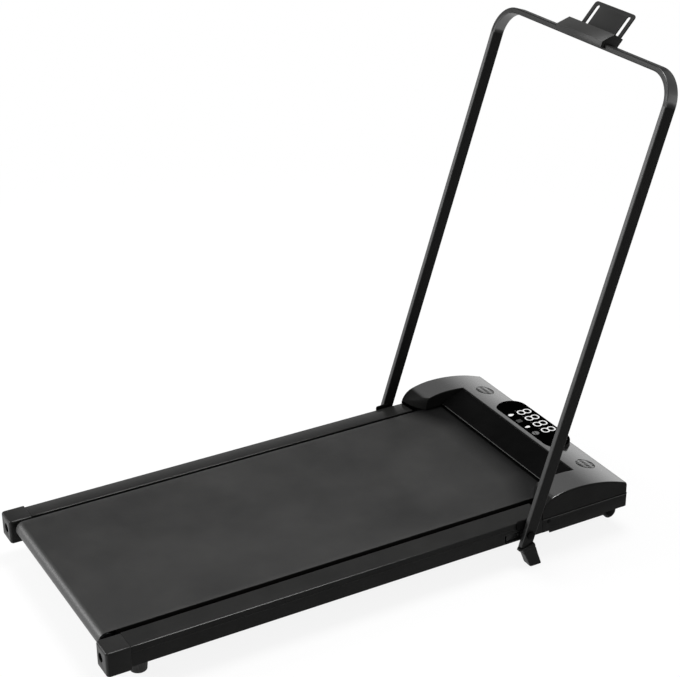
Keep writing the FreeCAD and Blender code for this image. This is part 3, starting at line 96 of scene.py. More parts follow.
def rangeNode(tree, value, low, high, toLow=0.0, toHigh=1.0):
    # the way from low to high, carried over to the way from toLow to toHigh and held at its ends
    ends = {"Value": value, "From Min": low, "From Max": high, "To Min": toLow, "To Max": toHigh}
    return addNode(tree, "ShaderNodeMapRange", ends).outputs["Result"]


def noiseNode(tree, vector, scale, detail=3.0, rough=0.5):
    # cloudy noise from 0 to 1
    values = {"Vector": vector, "Scale": scale, "Detail": detail, "Roughness": rough}
    return addNode(tree, "ShaderNodeTexNoise", values).outputs["Fac"]


def coordsOf(tree, kind):
    # Object coordinates, the object's normal or the world's direction
    return tree.nodes.new("ShaderNodeTexCoord").outputs[kind]


def axesOf(tree, vector):
    # the three parts of a vector
    return addNode(tree, "ShaderNodeSeparateXYZ", {0: vector}).outputs


# Camera, floor and light

cameraLook = {"place": (2.4489, -1.3511, 1.7737), "azimuth": 60.61, "elevation": 25.71, "roll": -0.27,
              "sensor": 36, "lens": 92.84, "shift": (-0.02085, -0.01757)}


def unit(vectors):
    # each vector over its own length
    return vectors / np.linalg.norm(vectors, axis=-1, keepdims=True)


def placeThing(name, data, axes, place):
    # an object whose own X, Y and Z lie along the given axes
    thing = bpy.data.objects.new(name, data)
    bpy.context.collection.objects.link(thing)
    rows = np.eye(4)
    rows[:3, :3] = np.stack(axes, axis=1)
    rows[:3, 3] = place
    thing.matrix_world = Matrix(rows.tolist())
    return thing


def makeCamera(look):
    # faces down its azimuth and elevation, turned about that line by the roll
    az, el, roll = (math.radians(look[key]) for key in ("azimuth", "elevation", "roll"))
    back = np.array([math.sin(az) * math.cos(el), -math.cos(az) * math.cos(el), math.sin(el)])
    right = np.array([math.cos(az), math.sin(az), 0.0])
    up = np.cross(back, right)
    c, s = math.cos(roll), math.sin(roll)
    data = bpy.data.cameras.new("photoCamera")
    data.sensor_fit = "HORIZONTAL"
    data.sensor_width = look["sensor"]
    data.lens = look["lens"]
    data.shift_x, data.shift_y = look["shift"]
    axes = (right * c + up * s, up * c - right * s, back)
    bpy.context.scene.camera = placeThing("photoCamera", data, axes, look["place"])


stageLook = {"floorSize": 12, "floorDrop": 0.0004, "floorColor": (0.9, 0.9, 0.9, 1),
             "floorWhite": (0.88, 1.0), "floorReach": (0.9, 2.2),  # share of white, and where it grows
             "ambient": 0.4, "overhead": 0.22, "overheadFrom": (0.08, 0.42), "aim": (0, 0, 0.3),
             "lamps": {"keyLamp": {"place": (-1.8, -2.6, 1.7), "size": 1.8, "power": 70},
                       "topLamp": {"place": (-0.4, 0.6, 3.2), "size": 1.6, "power": 90}}}


def makeLamp(name, aim, place, size, power):
    # a soft disc turned to the deck
    data = bpy.data.lights.new(name, "AREA")
    data.shape = "DISK"
    data.size = size
    data.energy = power
    guide = [0.0, 1.0, 0.001]  # nearly Y, never in line with a lamp
    back = unit(np.array(place) - aim)
    side = unit(np.cross(guide, back))
    placeThing(name, data, (side, np.cross(back, side), back), place)


def seenWhite(tree):
    # 1 for rays that show the background: camera, glossy and transmission
    path = tree.nodes.new("ShaderNodeLightPath").outputs
    seen = mathNode(tree, "MAXIMUM", path["Is Camera Ray"], path["Is Glossy Ray"])
    return mathNode(tree, "MAXIMUM", seen, path["Is Transmission Ray"])


def mixShaders(tree, output, share, first, second):
    # the output shows the second shader by its share and the first by the rest
    mix = addNode(tree, "ShaderNodeMixShader", {"Fac": share, 1: first.outputs[0], 2: second.outputs[0]})
    addNode(tree, output, {"Surface": mix.outputs[0]})


def makeWorld(look):
    # soft light on the pieces; white where it is seen, and dimmer overhead for glossy rays
    world = bpy.data.worlds.new("softStudio")
    world.use_nodes = True
    tree = world.node_tree
    tree.nodes.clear()
    height = axesOf(tree, coordsOf(tree, "Generated"))["Z"]
    fall = rangeNode(tree, height, *look["overheadFrom"], 0.0, 1 - look["overhead"])
    glossy = tree.nodes.new("ShaderNodeLightPath").outputs["Is Glossy Ray"]
    level = mathNode(tree, "SUBTRACT", 1.0, mathNode(tree, "MULTIPLY", glossy, fall))
    dim = addNode(tree, "ShaderNodeBackground", {"Color": plainWhite, "Strength": look["ambient"]})
    bright = addNode(tree, "ShaderNodeBackground", {"Color": plainWhite, "Strength": level})
    mixShaders(tree, "ShaderNodeOutputWorld", seenWhite(tree), dim, bright)
    bpy.context.scene.world = world


def makeFloor(look):
    # a flat square just under the feet: matt for light and shadow, whiter where it is seen further out
    mesh = bpy.data.meshes.new("paleFloor")
    corners = np.array([[-1, -1, 0], [1, -1, 0], [1, 1, 0], [-1, 1, 0]]) * look["floorSize"]
    mesh.from_pydata((corners - [0, 0, look["floorDrop"]]).tolist(), [], [(0, 1, 2, 3)])
    floor = bpy.data.objects.new("paleFloor", mesh)
    bpy.context.collection.objects.link(floor)
    mat, tree = newMaterial("paleFloor")
    tree.nodes.clear()
    away = addNode(tree, "ShaderNodeVectorMath", {0: coordsOf(tree, "Object")}, operation="LENGTH")
    share = rangeNode(tree, away.outputs["Value"], *look["floorReach"], *look["floorWhite"])
    matt = addNode(tree, "ShaderNodeBsdfDiffuse", {"Color": look["floorColor"]})
    bright = addNode(tree, "ShaderNodeEmission", {"Color": plainWhite})
    seen = mathNode(tree, "MULTIPLY", seenWhite(tree), share)
    mixShaders(tree, "ShaderNodeOutputMaterial", seen, matt, bright)
    mesh.materials.append(mat)


makeCamera(cameraLook)
makeWorld(stageLook)
makeFloor(stageLook)
for lampName, lampLook in stageLook["lamps"].items():
    makeLamp(lampName, stageLook["aim"], **lampLook)
bpy.context.scene.view_settings.view_transform = "Standard"
print("camera and stage set")


# Shared effects, as shader node groups

def makeMouldGrain():
    # fine pits of a textured mould, with broad mottling over them
    group, given, out = newGroup("mouldGrain", (("Scale", 900.0), ("Broad", 14.0)), ("Height", "Mottle"))
    place = coordsOf(group, "Object")
    fine = noiseNode(group, place, given["Scale"], detail=2.0, rough=0.6)
    broad = noiseNode(group, place, given["Broad"], detail=5.0, rough=0.55)
    group.links.new(fine, out["Height"])
    group.links.new(rangeNode(group, broad, 0.3, 0.7), out["Mottle"])
    return group


def makeEdgeWear():
    # where a bevelled normal leaves the true one there is an edge, broken up by noise; it marks edge wear,
    # and on the inner panel a painted highlight
    edgeBend = (0.995, 0.86)  # cosine of the bend where the lighter edge begins and where it is full
    group, given, out = newGroup("edgeWearAndHighlight", (("Radius", 0.0012), ("Patch", 60.0)), ("Mask",))
    bevel = addNode(group, "ShaderNodeBevel", {"Radius": given["Radius"]}, samples=4)
    true = group.nodes.new("ShaderNodeNewGeometry")
    normals = {0: bevel.outputs["Normal"], 1: true.outputs["Normal"]}
    dot = addNode(group, "ShaderNodeVectorMath", normals, operation="DOT_PRODUCT")
    edge = rangeNode(group, dot.outputs["Value"], *edgeBend)
    noise = noiseNode(group, coordsOf(group, "Object"), given["Patch"], detail=4.0)
    patch = rangeNode(group, noise, 0.35, 0.6, 0.35, 1.0)
    group.links.new(mathNode(group, "MULTIPLY", edge, patch, clamp=True), out["Mask"])
    return group


def makeDustFilm():
    # thin settled dust: upward faces only, cloudy
    group, given, out = newGroup("dustFilm", (("Amount", 0.3), ("Scale", 9.0)), ("Mask",))
    top = rangeNode(group, axesOf(group, coordsOf(group, "Normal"))["Z"], 0.5, 1.0)
    noise = noiseNode(group, coordsOf(group, "Object"), given["Scale"], detail=6.0, rough=0.62)
    cloud = mathNode(group, "MULTIPLY", top, rangeNode(group, noise, 0.3, 0.75))
    group.links.new(mathNode(group, "MULTIPLY", cloud, given["Amount"], clamp=True), out["Mask"])
    return group


# parts of a face's normal between which the lacquer thins out
faceTurns = {"top": (0.75, 0.94), "across": (0.1, 0.45), "side": (0.1, 0.3), "rear": (-0.38, -0.24)}


def makeFaceMask(name, axis, dull, glossy, topShare=1.0, acrossShare=1.0, sideShare=1.0, rearShare=1.0):
    # lacquer by the way a face is turned: "Dull" at one share of the axis, "Full" at the other,
    # less on flat tops, on faces that lie across the axis and on faces that lean to a side or to the rear
    group, given, out = newGroup(name, (("Dull", 0.1), ("Full", 1.0)), ("Mask",))
    normal = axesOf(group, coordsOf(group, "Normal"))
    aside = mathNode(group, "ABSOLUTE", normal["X"])
    turned = aside if axis == "X" else normal[axis]
    span = mathNode(group, "SUBTRACT", given["Full"], given["Dull"])
    rise = mathNode(group, "MULTIPLY", rangeNode(group, turned, dull, glossy), span)
    mask = mathNode(group, "ADD", given["Dull"], rise, clamp=True)
    for loss in (rangeNode(group, normal["Z"], *faceTurns["top"], 1.0, topShare),
                 rangeNode(group, turned, *faceTurns["across"], acrossShare, 1.0),
                 rangeNode(group, aside, *faceTurns["side"], 1.0, sideShare),
                 rangeNode(group, normal["Y"], *faceTurns["rear"], rearShare, 1.0)):
        mask = mathNode(group, "MULTIPLY", mask, loss)
    group.links.new(mask, out["Mask"])
    return group


def makeBrushLines():
    # drawn streaks: noise stretched along X
    group, given, out = newGroup("brushLines", (("Scale", 260.0), ("Stretch", 0.04)), ("Streak",))
    place = axesOf(group, coordsOf(group, "Object"))
    drawn = mathNode(group, "MULTIPLY", place["X"], given["Stretch"])
    join = addNode(group, "ShaderNodeCombineXYZ", {"X": drawn, "Y": place["Y"], "Z": place["Z"]})
    streak = noiseNode(group, join.outputs[0], given["Scale"], detail=4.0, rough=0.7)
    group.links.new(rangeNode(group, streak, 0.3, 0.7), out["Streak"])
    return group


mouldGrain = makeMouldGrain()
edgeWearAndHighlight = makeEdgeWear()
dustFilm = makeDustFilm()
brushLines = makeBrushLines()
coatMasks = {"sides": makeFaceMask("dullSides", "X", 0.97, 0.7),
             "roof": makeFaceMask("glossyRoof", "Z", 0.78, 0.91, sideShare=0.0, rearShare=0.0),
             "bend": makeFaceMask("glossyBend", "Y", -0.15, -0.7),
             "rail": makeFaceMask("dullRail", "X", 0.97, 0.7, topShare=0.3),
             "curve": makeFaceMask("glossyCurve", "X", 0.9995, 0.985, topShare=0.3, acrossShare=0.2)}


def placeGroup(tree, group, values):
    # a shared effect with this material's own values
    return addNode(tree, "ShaderNodeGroup", values, node_tree=group).outputs


def mixColors(tree, mask, first, second):
    # the first colour where the mask is 0, the second where it is 1
    node = addNode(tree, "ShaderNodeMix", {"Factor": mask}, data_type="RGBA")
    ends = [socket for socket in node.inputs if socket.type == "RGBA"]
    for socket, value in zip(ends, (first, second)):
        if isinstance(value, tuple):
            socket.default_value = value + (1.0,)
        else:
            tree.links.new(value, socket)
    return [socket for socket in node.outputs if socket.type == "RGBA"][0]


def tintBase(mat, mask, tone):
    # the material's own base colour where the mask is 1, the tone where it is 0
    tree = mat.node_tree
    base = tree.nodes["Principled BSDF"].inputs["Base Color"]
    tree.links.new(mixColors(tree, mask, tone, base.links[0].from_socket), base)


def grey(level, blue=None):
    # a grey, or one with its own share of blue
    return (level, level, level if blue is None else blue)


plainLook = {"worn": grey(0.09, 0.088), "rough": 0.5, "spread": 0.08, "grain": 1100.0, "broad": 14.0,
             "depth": 0.08, "bumpReach": 0.0003, "wearSize": 0.0009, "wear": 0.5, "dust": 0.0, "metal": 0.0,
             "specular": 0.3, "coat": None, "coatBy": "sides", "coatRough": 0.3, "coatIndex": 1.5,
             "streak": False, "dustTone": (0.2, 0.195, 0.185), "dustRough": 0.3}


def makeFinish(name, base, lift, **changes):
    # base tone mottled by grain, lighter edges for wear (on the inner panel mostly a painted highlight),
    # dust on top, bump from the grain's pits
    look = dict(plainLook, **changes)
    mat, tree = newMaterial(name)
    shader = tree.nodes["Principled BSDF"]
    grain = placeGroup(tree, mouldGrain, {"Scale": look["grain"], "Broad": look["broad"]})
    tone = grain["Mottle"]
    if look["streak"]:
        tone = placeGroup(tree, brushLines, {"Scale": look["grain"]})["Streak"]
    color = mixColors(tree, tone, base, lift)
    # lighter edges: wear, and where a finish asks for it strongly, a painted highlight
    if look["wear"]:
        wear = placeGroup(tree, edgeWearAndHighlight, {"Radius": look["wearSize"]})["Mask"]
        color = mixColors(tree, mathNode(tree, "MULTIPLY", wear, look["wear"]), color, look["worn"])
    rough = rangeNode(tree, tone, 0.0, 1.0, look["rough"] - look["spread"], look["rough"] + look["spread"])
    if look["dust"]:
        dust = placeGroup(tree, dustFilm, {"Amount": look["dust"]})["Mask"]
        color = mixColors(tree, dust, color, look["dustTone"])
        dull = mathNode(tree, "MULTIPLY", dust, look["dustRough"])
        rough = mathNode(tree, "ADD", rough, dull, clamp=True)
    pits = {"Strength": look["depth"], "Distance": look["bumpReach"], "Height": grain["Height"]}
    bump = addNode(tree, "ShaderNodeBump", pits)
    fillInputs(tree, shader, {"Base Color": color, "Roughness": rough, "Normal": bump.outputs["Normal"],
                              "Metallic": look["metal"], "Specular IOR Level": look["specular"]})
    if look["coat"]:
        ends = dict(zip(("Dull", "Full"), look["coat"]))
        satin = placeGroup(tree, coatMasks[look["coatBy"]], ends)["Mask"]
        fillInputs(tree, shader, {"Coat Weight": satin, "Coat Roughness": look["coatRough"],
                                  "Coat IOR": look["coatIndex"]})
    return mat


handrailPaint = {"base": grey(0.006, 0.0059), "lift": grey(0.009, 0.0088), "worn": grey(0.03, 0.029),
                 "specular": 0.04, "coat": (0.03, 1.0), "grain": 520.0, "depth": 0.06}
finishes = {
    "painted_frame": makeFinish(
        "powderCoat", grey(0.01), grey(0.016), grain=420.0, depth=0.25, specular=0.15),
    "cover_plastic": makeFinish(
        "railCoverPlastic", grey(0.008, 0.0078), grey(0.012, 0.0117), worn=grey(0.04, 0.039), depth=0.05,
        specular=0.04, coat=(0.03, 0.53), coatRough=0.16, dust=0.03),
    "cap_plastic": makeFinish(
        "capPlastic", grey(0.006, 0.0058), grey(0.01, 0.0098), worn=grey(0.05, 0.049), specular=0.06,
        coat=(0.04, 0.4), depth=0.16, dust=0.03),
    "board_wood": makeFinish(
        "boardFilm", (0.006, 0.0055, 0.005), (0.011, 0.0105, 0.0095), worn=(0.03, 0.024, 0.018), rough=0.7,
        grain=700.0, broad=60.0, depth=0.2, specular=0.1, streak=True),
    "cushion_rubber": makeFinish(
        "cushionRubber", grey(0.03), grey(0.045, 0.044), rough=0.7, depth=0.3, specular=0.2),
    "drive_rubber": makeFinish(
        "driveBeltRubber", grey(0.016), grey(0.028, 0.027), rough=0.6, depth=0.3, specular=0.2),
    "bright_steel": makeFinish(
        "turnedSteel", grey(0.5, 0.49), grey(0.62, 0.6), worn=grey(0.7, 0.68), metal=1.0, rough=0.28,
        grain=380.0, depth=0.1, streak=True),
    "roller_steel": makeFinish(
        "rollerSteel", grey(0.012), grey(0.02), worn=grey(0.06), metal=1.0, rough=0.45, grain=300.0,
        depth=0.12, streak=True),
    "dark_screws": makeFinish(
        "blackedSteel", grey(0.004), grey(0.008), worn=grey(0.06), specular=0.08, rough=0.42, grain=800.0),
    "cast_blocks": makeFinish(
        "castBlocks", grey(0.05), grey(0.08), worn=grey(0.15), metal=0.85, rough=0.55, grain=600.0,
        depth=0.35),
    "pulley_alloy": makeFinish(
        "pulleyAlloy", grey(0.45, 0.46), grey(0.58), worn=grey(0.66, 0.65), metal=1.0, rough=0.32,
        streak=True),
    "motor_paint": makeFinish(
        "motorPaint", (0.02, 0.021, 0.024), (0.03, 0.031, 0.034), rough=0.4, depth=0.15),
    "circuit_board": makeFinish(
        "solderMask", (0.01, 0.07, 0.03), (0.02, 0.12, 0.05), worn=(0.3, 0.26, 0.12), broad=220.0,
        rough=0.35),
    "hood_gloss": makeFinish(
        "hoodGloss", grey(0.0075, 0.0073), grey(0.0115, 0.0113), worn=grey(0.03, 0.029), specular=0.04,
        coat=(0.0, 1.0), coatBy="roof", coatRough=0.14, coatIndex=3.8, grain=500.0, depth=0.02),
    "pan_plastic": makeFinish(
        "panPlastic", grey(0.01, 0.0098), grey(0.014, 0.0137), worn=grey(0.04, 0.039), rough=0.55,
        specular=0.04, coat=(0.0, 0.7), coatBy="roof", depth=0.2),
    "lens_gloss": makeFinish(
        "lensGloss", grey(0.0003), grey(0.0006), worn=grey(0.02), rough=0.12, spread=0.03, specular=0.0012,
        depth=0.01, wear=0.1),
    "switch_plastic": makeFinish(
        "switchPlastic", grey(0.005), grey(0.009), rough=0.4, specular=0.15, depth=0.1),
    "wheel_plastic": makeFinish("wheelPlastic", grey(0.006), grey(0.01), depth=0.2, specular=0.1),
    "fork_steel": makeFinish(
        "forkSteel", grey(0.0015), grey(0.003), worn=grey(0.02), specular=0.03, grain=500.0, depth=0.2),
    "rail_paint": makeFinish("railPaint", **handrailPaint, coatBy="rail", coatRough=0.5, coatIndex=1.65),
    "bar_paint": makeFinish("barPaint", **handrailPaint, coatBy="curve", coatRough=0.4, coatIndex=1.95),
    "bush_plastic": makeFinish("bushPlastic", (0.5, 0.49, 0.46), (0.58, 0.57, 0.54)),
    "boot_rubber": makeFinish(
        "bootRubber", grey(0.008, 0.0078), grey(0.013, 0.0127), rough=0.6, specular=0.06, coat=(0.03, 0.5),
        coatRough=0.45, depth=0.3, dust=0.03),
    "holder_plastic": makeFinish(
        "holderPlastic", grey(0.012, 0.0117), grey(0.017, 0.0166), specular=0.06, coat=(0.05, 0.35),
        coatRough=0.35, depth=0.18),
    # painted highlight: the inner panel's edges go strongly to a much lighter grey, partly wear, mostly
    # light caught along its edges
    "inner_panel": makeFinish(
        "innerPanel", grey(0.0022), grey(0.004), worn=grey(0.06, 0.058), specular=0.01, depth=0.2, wear=0.8),
    # the beads' lighter grey is a painted highlight along the panel's foot and the hood seam
    "highlight_bead": makeFinish("highlightBead", grey(0.035, 0.034), grey(0.05, 0.049), rough=0.4, wear=0),
    "seals": makeFinish("bearingSeals", grey(0.01), grey(0.015), rough=0.6, specular=0.1),
}
ownFinish = {"rear_bearings": "seals", "front_bearings": "seals", "inner_panel": "inner_panel",
             "hood_screws": "fork_steel", "pivot_bolts": "fork_steel", "top_bar": "bar_paint"}
print("finishes made:", len(finishes))


# Mesh helpers

weldReach, sliverReach = 1e-6, 1e-7  # metres


def asPoints(*parts):
    # numbers and rows of numbers, spread to one shape, as the coordinates of points
    return np.stack(np.broadcast_arrays(*parts), axis=-1)


def fullTurn(count):
    # angles evenly round a circle, the last one short of the first
    return np.linspace(0, 2 * math.pi, count + 1)[:-1]


def gridFaces(rows, columns, wrapRows=False, wrapColumns=False):
    # quads of a rows x columns grid of points, closed round either way if asked
    i = np.arange(rows if wrapRows else rows - 1)[:, None]
    j = np.arange(columns if wrapColumns else columns - 1)[None, :]
    i, j = np.broadcast_arrays(i, j)
    nextI, nextJ = (i + 1) % rows, (j + 1) % columns
    corners = ((i, j), (nextI, j), (nextI, nextJ), (i, nextJ))
    return np.stack([row * columns + column for row, column in corners], axis=-1).reshape(-1, 4)


def endCaps(rows, columns):
    # the first and the last row of a grid, each as one face
    return [list(range(columns)), list(range((rows - 1) * columns, rows * columns))]


def addPiece(name, points, faces, finish, slot, replaced=(), body="deck", sharp=32, uv=None, merge=True):
    # points to metres, doubles merged, normals outward, smooth but for edges sharper than the angle
    mesh = bpy.data.meshes.new(name)
    place = np.asarray(points).reshape(-1, 3) * mm + [0, rearEnd, 0]
    mesh.from_pydata(place.tolist(), [], [list(face) for face in faces])
    if uv is not None:
        layer = mesh.uv_layers.new(name="UVMap")
        layer.data.foreach_set("uv", np.asarray(uv, dtype=np.float32).ravel())
    shell = bmesh.new()
    shell.from_mesh(mesh)
    if merge:
        bmesh.ops.remove_doubles(shell, verts=shell.verts, dist=weldReach)
        bmesh.ops.dissolve_degenerate(shell, edges=shell.edges, dist=sliverReach)
    bmesh.ops.recalc_face_normals(shell, faces=shell.faces)
    shell.to_mesh(mesh)
    shell.free()
    mesh.polygons.foreach_set("use_smooth", np.ones(len(mesh.polygons), dtype=bool))
    mesh.set_sharp_from_angle(angle=math.radians(sharp))
    mesh.materials.append(finish)
    mesh.update()
    piece = bpy.data.objects.new(name, mesh)
    bpy.context.collection.objects.link(piece)
    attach(piece, body)
    if replaced:
        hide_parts(*replaced)
    return piece


def addModifier(piece, name, kind, **settings):
    # a modifier with its settings made
    modifier = piece.modifiers.new(name, kind)
    for key, setting in settings.items():
        setattr(modifier, key, setting)


def roundedLine(corners, radii, steps=6):
    # a polyline whose corners become arcs, each between its two tangent points round its own centre
    corners = np.asarray(corners, dtype=float)
    turn = np.linspace(0, 1, steps + 1)[:, None]
    out = [corners[:1]]
    for before, at, after, radius in zip(corners[:-2], corners[1:-1], corners[2:], radii):
        a, b = unit(before - at), unit(after - at)
        halfTurn = math.acos(np.clip(np.dot(a, b), -1, 1)) / 2
        whole = math.pi - 2 * halfTurn
        back = radius / math.tan(halfTurn)
        centre = at + unit(a + b) * radius / math.sin(halfTurn)
        start, end = at + a * back - centre, at + b * back - centre
        arc = np.sin((1 - turn) * whole) * start + np.sin(turn * whole) * end
        out.append(centre + arc / math.sin(whole))
    out.append(corners[-1:])
    return np.concatenate(out)


def cornerArcs(steps):
    # four quarter turns in a row: cosine and sine of each point, and the signs of its corner
    turn = (np.linspace(0, quarter, steps) + np.arange(4)[:, None] * quarter).ravel()
    return np.cos(turn), np.sin(turn), np.repeat([1, -1, -1, 1], steps), np.repeat([1, 1, -1, -1], steps)


def both(points):
    # the same points on the other side of the middle plane
    return np.asarray(points) * [-1, 1, 1]


def withTwin(points, faces):
    # a shape together with itself on the other side
    count = points.size // 3
    return np.stack([points, both(points)]), faces + [[index + count for index in face] for face in faces]


# Walking belt: a flat band carried round a stadium loop

# the last four entries set the painted shade on the belt by the panel's foot and by its arms
beltLook = {"half": 196.4, "top": 88.5, "bend": 15.6, "rear": 24.0, "front": 946.0, "thick": 1.6,
            "edge": 0.5, "across": 33, "under": 9, "bendSteps": 28, "runSteps": 40,
            "pitch": 0.0026, "narrow": 1.5, "pits": 2600.0, "dim": (0.095, 0.143),
            "shadeSide": (0.11, 0.196), "shadeReach": 0.04, "paintedShadeTone": (0.0006, 0.0006, 0.0006)}


def makeBeltFinish(look):
    # small raised lozenges in rows, broad scuffing along the walking line, and painted shade: a darker base
    # colour by the panel's foot and its arms
    mat = makeFinish("beltRubber", grey(0.013, 0.0128), grey(0.018, 0.0177), spread=0.05, specular=0.2,
                     broad=5.0, depth=0.3, bumpReach=0.00025, wear=0, dust=0.06, coat=(0.0, 0.5),
                     coatBy="bend", coatRough=0.45, coatIndex=1.9)
    tree = mat.node_tree
    uv = addNode(tree, "ShaderNodeUVMap", uv_map="UVMap").outputs["UV"]
    along, over = axesOf(tree, uv)[:2]
    # painted shade: the base colour falls to a near-black tone near the panel's foot, reaching further back
    # by the arms' walls
    arms = rangeNode(tree, mathNode(tree, "ABSOLUTE", over), *look["shadeSide"], 0.0, look["shadeReach"])
    seen = rangeNode(tree, mathNode(tree, "SUBTRACT", along, arms), *look["dim"])
    tintBase(mat, seen, look["paintedShadeTone"])
    pitch = 2 * math.pi / look["pitch"]
    rows = mathNode(tree, "SINE", mathNode(tree, "MULTIPLY", along, pitch))
    files = mathNode(tree, "SINE", mathNode(tree, "MULTIPLY", over, pitch * look["narrow"]))
    weave = mathNode(tree, "MULTIPLY", mathNode(tree, "MULTIPLY", rows, files), 0.5)
    height = mathNode(tree, "ADD", weave, noiseNode(tree, uv, look["pits"], detail=2.0))
    tree.links.new(height, tree.nodes["Bump"].inputs["Height"])
    return mat


def makeBelt(look):
    # two half circles joined by straight runs; the band's section stands on the loop's normals
    half, thick, edge, bend = (look[key] for key in ("half", "thick", "edge", "bend"))
    turn = np.linspace(-quarter, quarter, look["bendSteps"])
    arc = bend * asPoints(np.cos(turn), np.sin(turn))
    frontBend = np.array([look["front"], look["top"] - bend]) + arc
    rearBend = np.array([look["rear"], look["top"] - bend]) - arc
    run = np.linspace(0, 1, look["runSteps"] + 2)[1:-1, None]
    upper = frontBend[-1] + (rearBend[0] - frontBend[-1]) * run
    lower = rearBend[-1] + (frontBend[0] - rearBend[-1]) * run
    path = np.concatenate([frontBend, upper, rearBend, lower])
    ahead = np.roll(path, -1, axis=0) - np.roll(path, 1, axis=0)
    normal = unit(asPoints(ahead[:, 1], -ahead[:, 0]))
    soft = edge * 0.3  # one more point rounds each upper edge
    side = np.array([[half - soft, -soft], [half, -edge], [half, edge - thick]])
    profile = np.concatenate([asPoints(np.linspace(-half + edge, half - edge, look["across"]), 0.0), side,
                              asPoints(np.linspace(half - edge, -half + edge, look["under"]), -thick),
                              side[::-1] * [-1, 1]])
    flat = path[:, None] + normal[:, None] * profile[:, 1:]
    points = asPoints(profile[:, 0], flat[..., 0], flat[..., 1])
    rows, columns = points.shape[:2]
    steps = np.linalg.norm(np.roll(path, -1, axis=0) - path, axis=1)
    length = np.concatenate([[0], np.cumsum(steps)]) * mm
    i, j = np.divmod(np.arange(rows * columns), columns)
    x, nextJ = profile[:, 0] * mm, (j + 1) % columns
    corners = ((i, j), (i + 1, j), (i + 1, nextJ), (i, nextJ))
    uv = np.stack([asPoints(length[row], x[column]) for row, column in corners], axis=1)
    faces = gridFaces(rows, columns, True, True)
    addPiece("walkingBelt", points, faces, makeBeltFinish(look), "belt_rubber", replaced=("walking_belt",),
             uv=uv, merge=False, sharp=50)


makeBelt(beltLook)
print("belt made")


# Rail covers: one section carried along the deck

coverLook = {"start": 43.5, "end": 849.5, "inner": 205.75, "innerTop": 87.3, "outer": 248.5,
             "outerTop": 83.8, "ledge": 73.0, "ledgeRise": 0.9, "ledgeInside": (-1.2, 0.6),
             "skirt": 250.0, "bottom": 47.0, "wall": 2.4, "hook": 70.3, "reach": 193.0, "shelf": 1.4,
             "window": (766.8, 805.7, 49.0, 66.9), "rounds": (0.3, 0.3, 1.6, 2.6, 0.35, 0.5),
             "footRounds": (0.6, 0.3), "endSoft": 1.2, "endInset": (0.6, 0.2)}


def makeRailCover(side, start, end, inner, innerTop, outer, outerTop, ledge, ledgeRise, ledgeInside, skirt,
                  bottom, wall, hook, reach, shelf, window, rounds, footRounds, endSoft, endInset):
    # a line from the shelf by the belt over the top to the skirt's foot, then back inside by the wall
    rear, front, low, high = window
    skirtIn, outerIn, innerIn, shelfTop = skirt - wall, outer - wall, inner + wall, hook + shelf
    over = roundedLine([(reach, hook), (reach, shelfTop), (inner, shelfTop), (inner, innerTop),
                        (outer, outerTop), (outer, ledge + ledgeRise), (skirt, ledge), (skirt, high)],
                       rounds)
    foot = roundedLine([(skirt, low), (skirt, bottom), (skirtIn, bottom), (skirtIn, low)], footRounds, 3)
    under = [(skirtIn, high), (skirtIn, ledge + ledgeInside[0]), (outerIn, ledge + ledgeInside[1]),
             (outerIn, outerTop - wall), (innerIn, innerTop - wall), (innerIn, hook)]
    profile = np.concatenate([over, foot, under])
    gapOut, gapIn = len(over) - 1, len(over) + len(foot) - 1
    soft = np.array([0.0, 0.35, 1.0]) * endSoft
    along = np.unique(np.concatenate([np.linspace(start, rear, 24), np.linspace(front, end, 4),
                                      start + soft, end - soft]))
    inset = np.zeros_like(along)
    inset[:2], inset[-2:] = endInset, endInset[::-1]
    pulled = profile + unit(profile.mean(axis=0) - profile) * inset[:, None, None]
    atFoot = profile[:, 1:] <= bottom + 0.1  # the foot runs straight to both ends
    flat = np.where(atFoot, profile, pulled)
    points = asPoints(flat[..., 0], along[:, None], flat[..., 1])
    rows, columns = points.shape[:2]
    faces = gridFaces(rows, columns, False, True)
    ends = endCaps(rows, columns)
    if side > 0:
        # the switch's window: two strips of faces go, and four walls join the outer face to the inner one
        row = int(np.searchsorted(along, rear - 0.01))
        cut = (faces[:, 0] // columns == row) & np.isin(faces[:, 0] % columns, (gapOut, gapIn))
        faces = faces[~cut]
        near, far = row * columns, (row + 1) * columns
        upper, lower = (gapOut, gapIn + 1), (gapOut + 1, gapIn)
        ends += [(near + out, far + out, far + back, near + back) for out, back in (upper, lower)]
        ends += [(at + upper[0], at + lower[0], at + lower[1], at + upper[1]) for at in (near, far)]
    name = "right" if side > 0 else "left"
    addPiece("railCover." + name, points if side > 0 else both(points), faces.tolist() + ends,
             finishes["cover_plastic"], "cover_plastic", replaced=("rail_cover_" + name,), sharp=28)


for coverSide in (1, -1):
    makeRailCover(coverSide, **coverLook)
print("rail covers made")


# Hood: a band between the recess and the outer outline, its height read along the side outline

hoodLook = {"half": 249.0, "arm": 189.0, "tip": 850.0, "front": 1042.0, "corner": 4.0, "nose": 21.0,
            "noseMid": 0.32, "noseRound": 14.0, "noseFoot": 90.0, "noseTop": 122.0, "noseBlend": 4.0,
            "noseLimit": 40.0, "ledge": 73.0, "height": 46.5, "lip": 959.0, "lipBottom": 115.0,
            "armFoot": 89.9, "armEase": 1.3, "edge": 3.2, "innerEdge": 1.8, "wall": 2.3, "seamGap": 0.15,
            "armSteps": 44, "fanSteps": 5, "bridgeSteps": 29, "wallSteps": 6,
            "side": ((0, 0.37), (0.042, 0.66), (0.13, 0.867), (0.245, 0.965), (0.37, 1), (0.68, 0.874),
                     (0.966, 0.53), (0.99, 0.48), (1, 0.39))}  # shares of the length and of the height


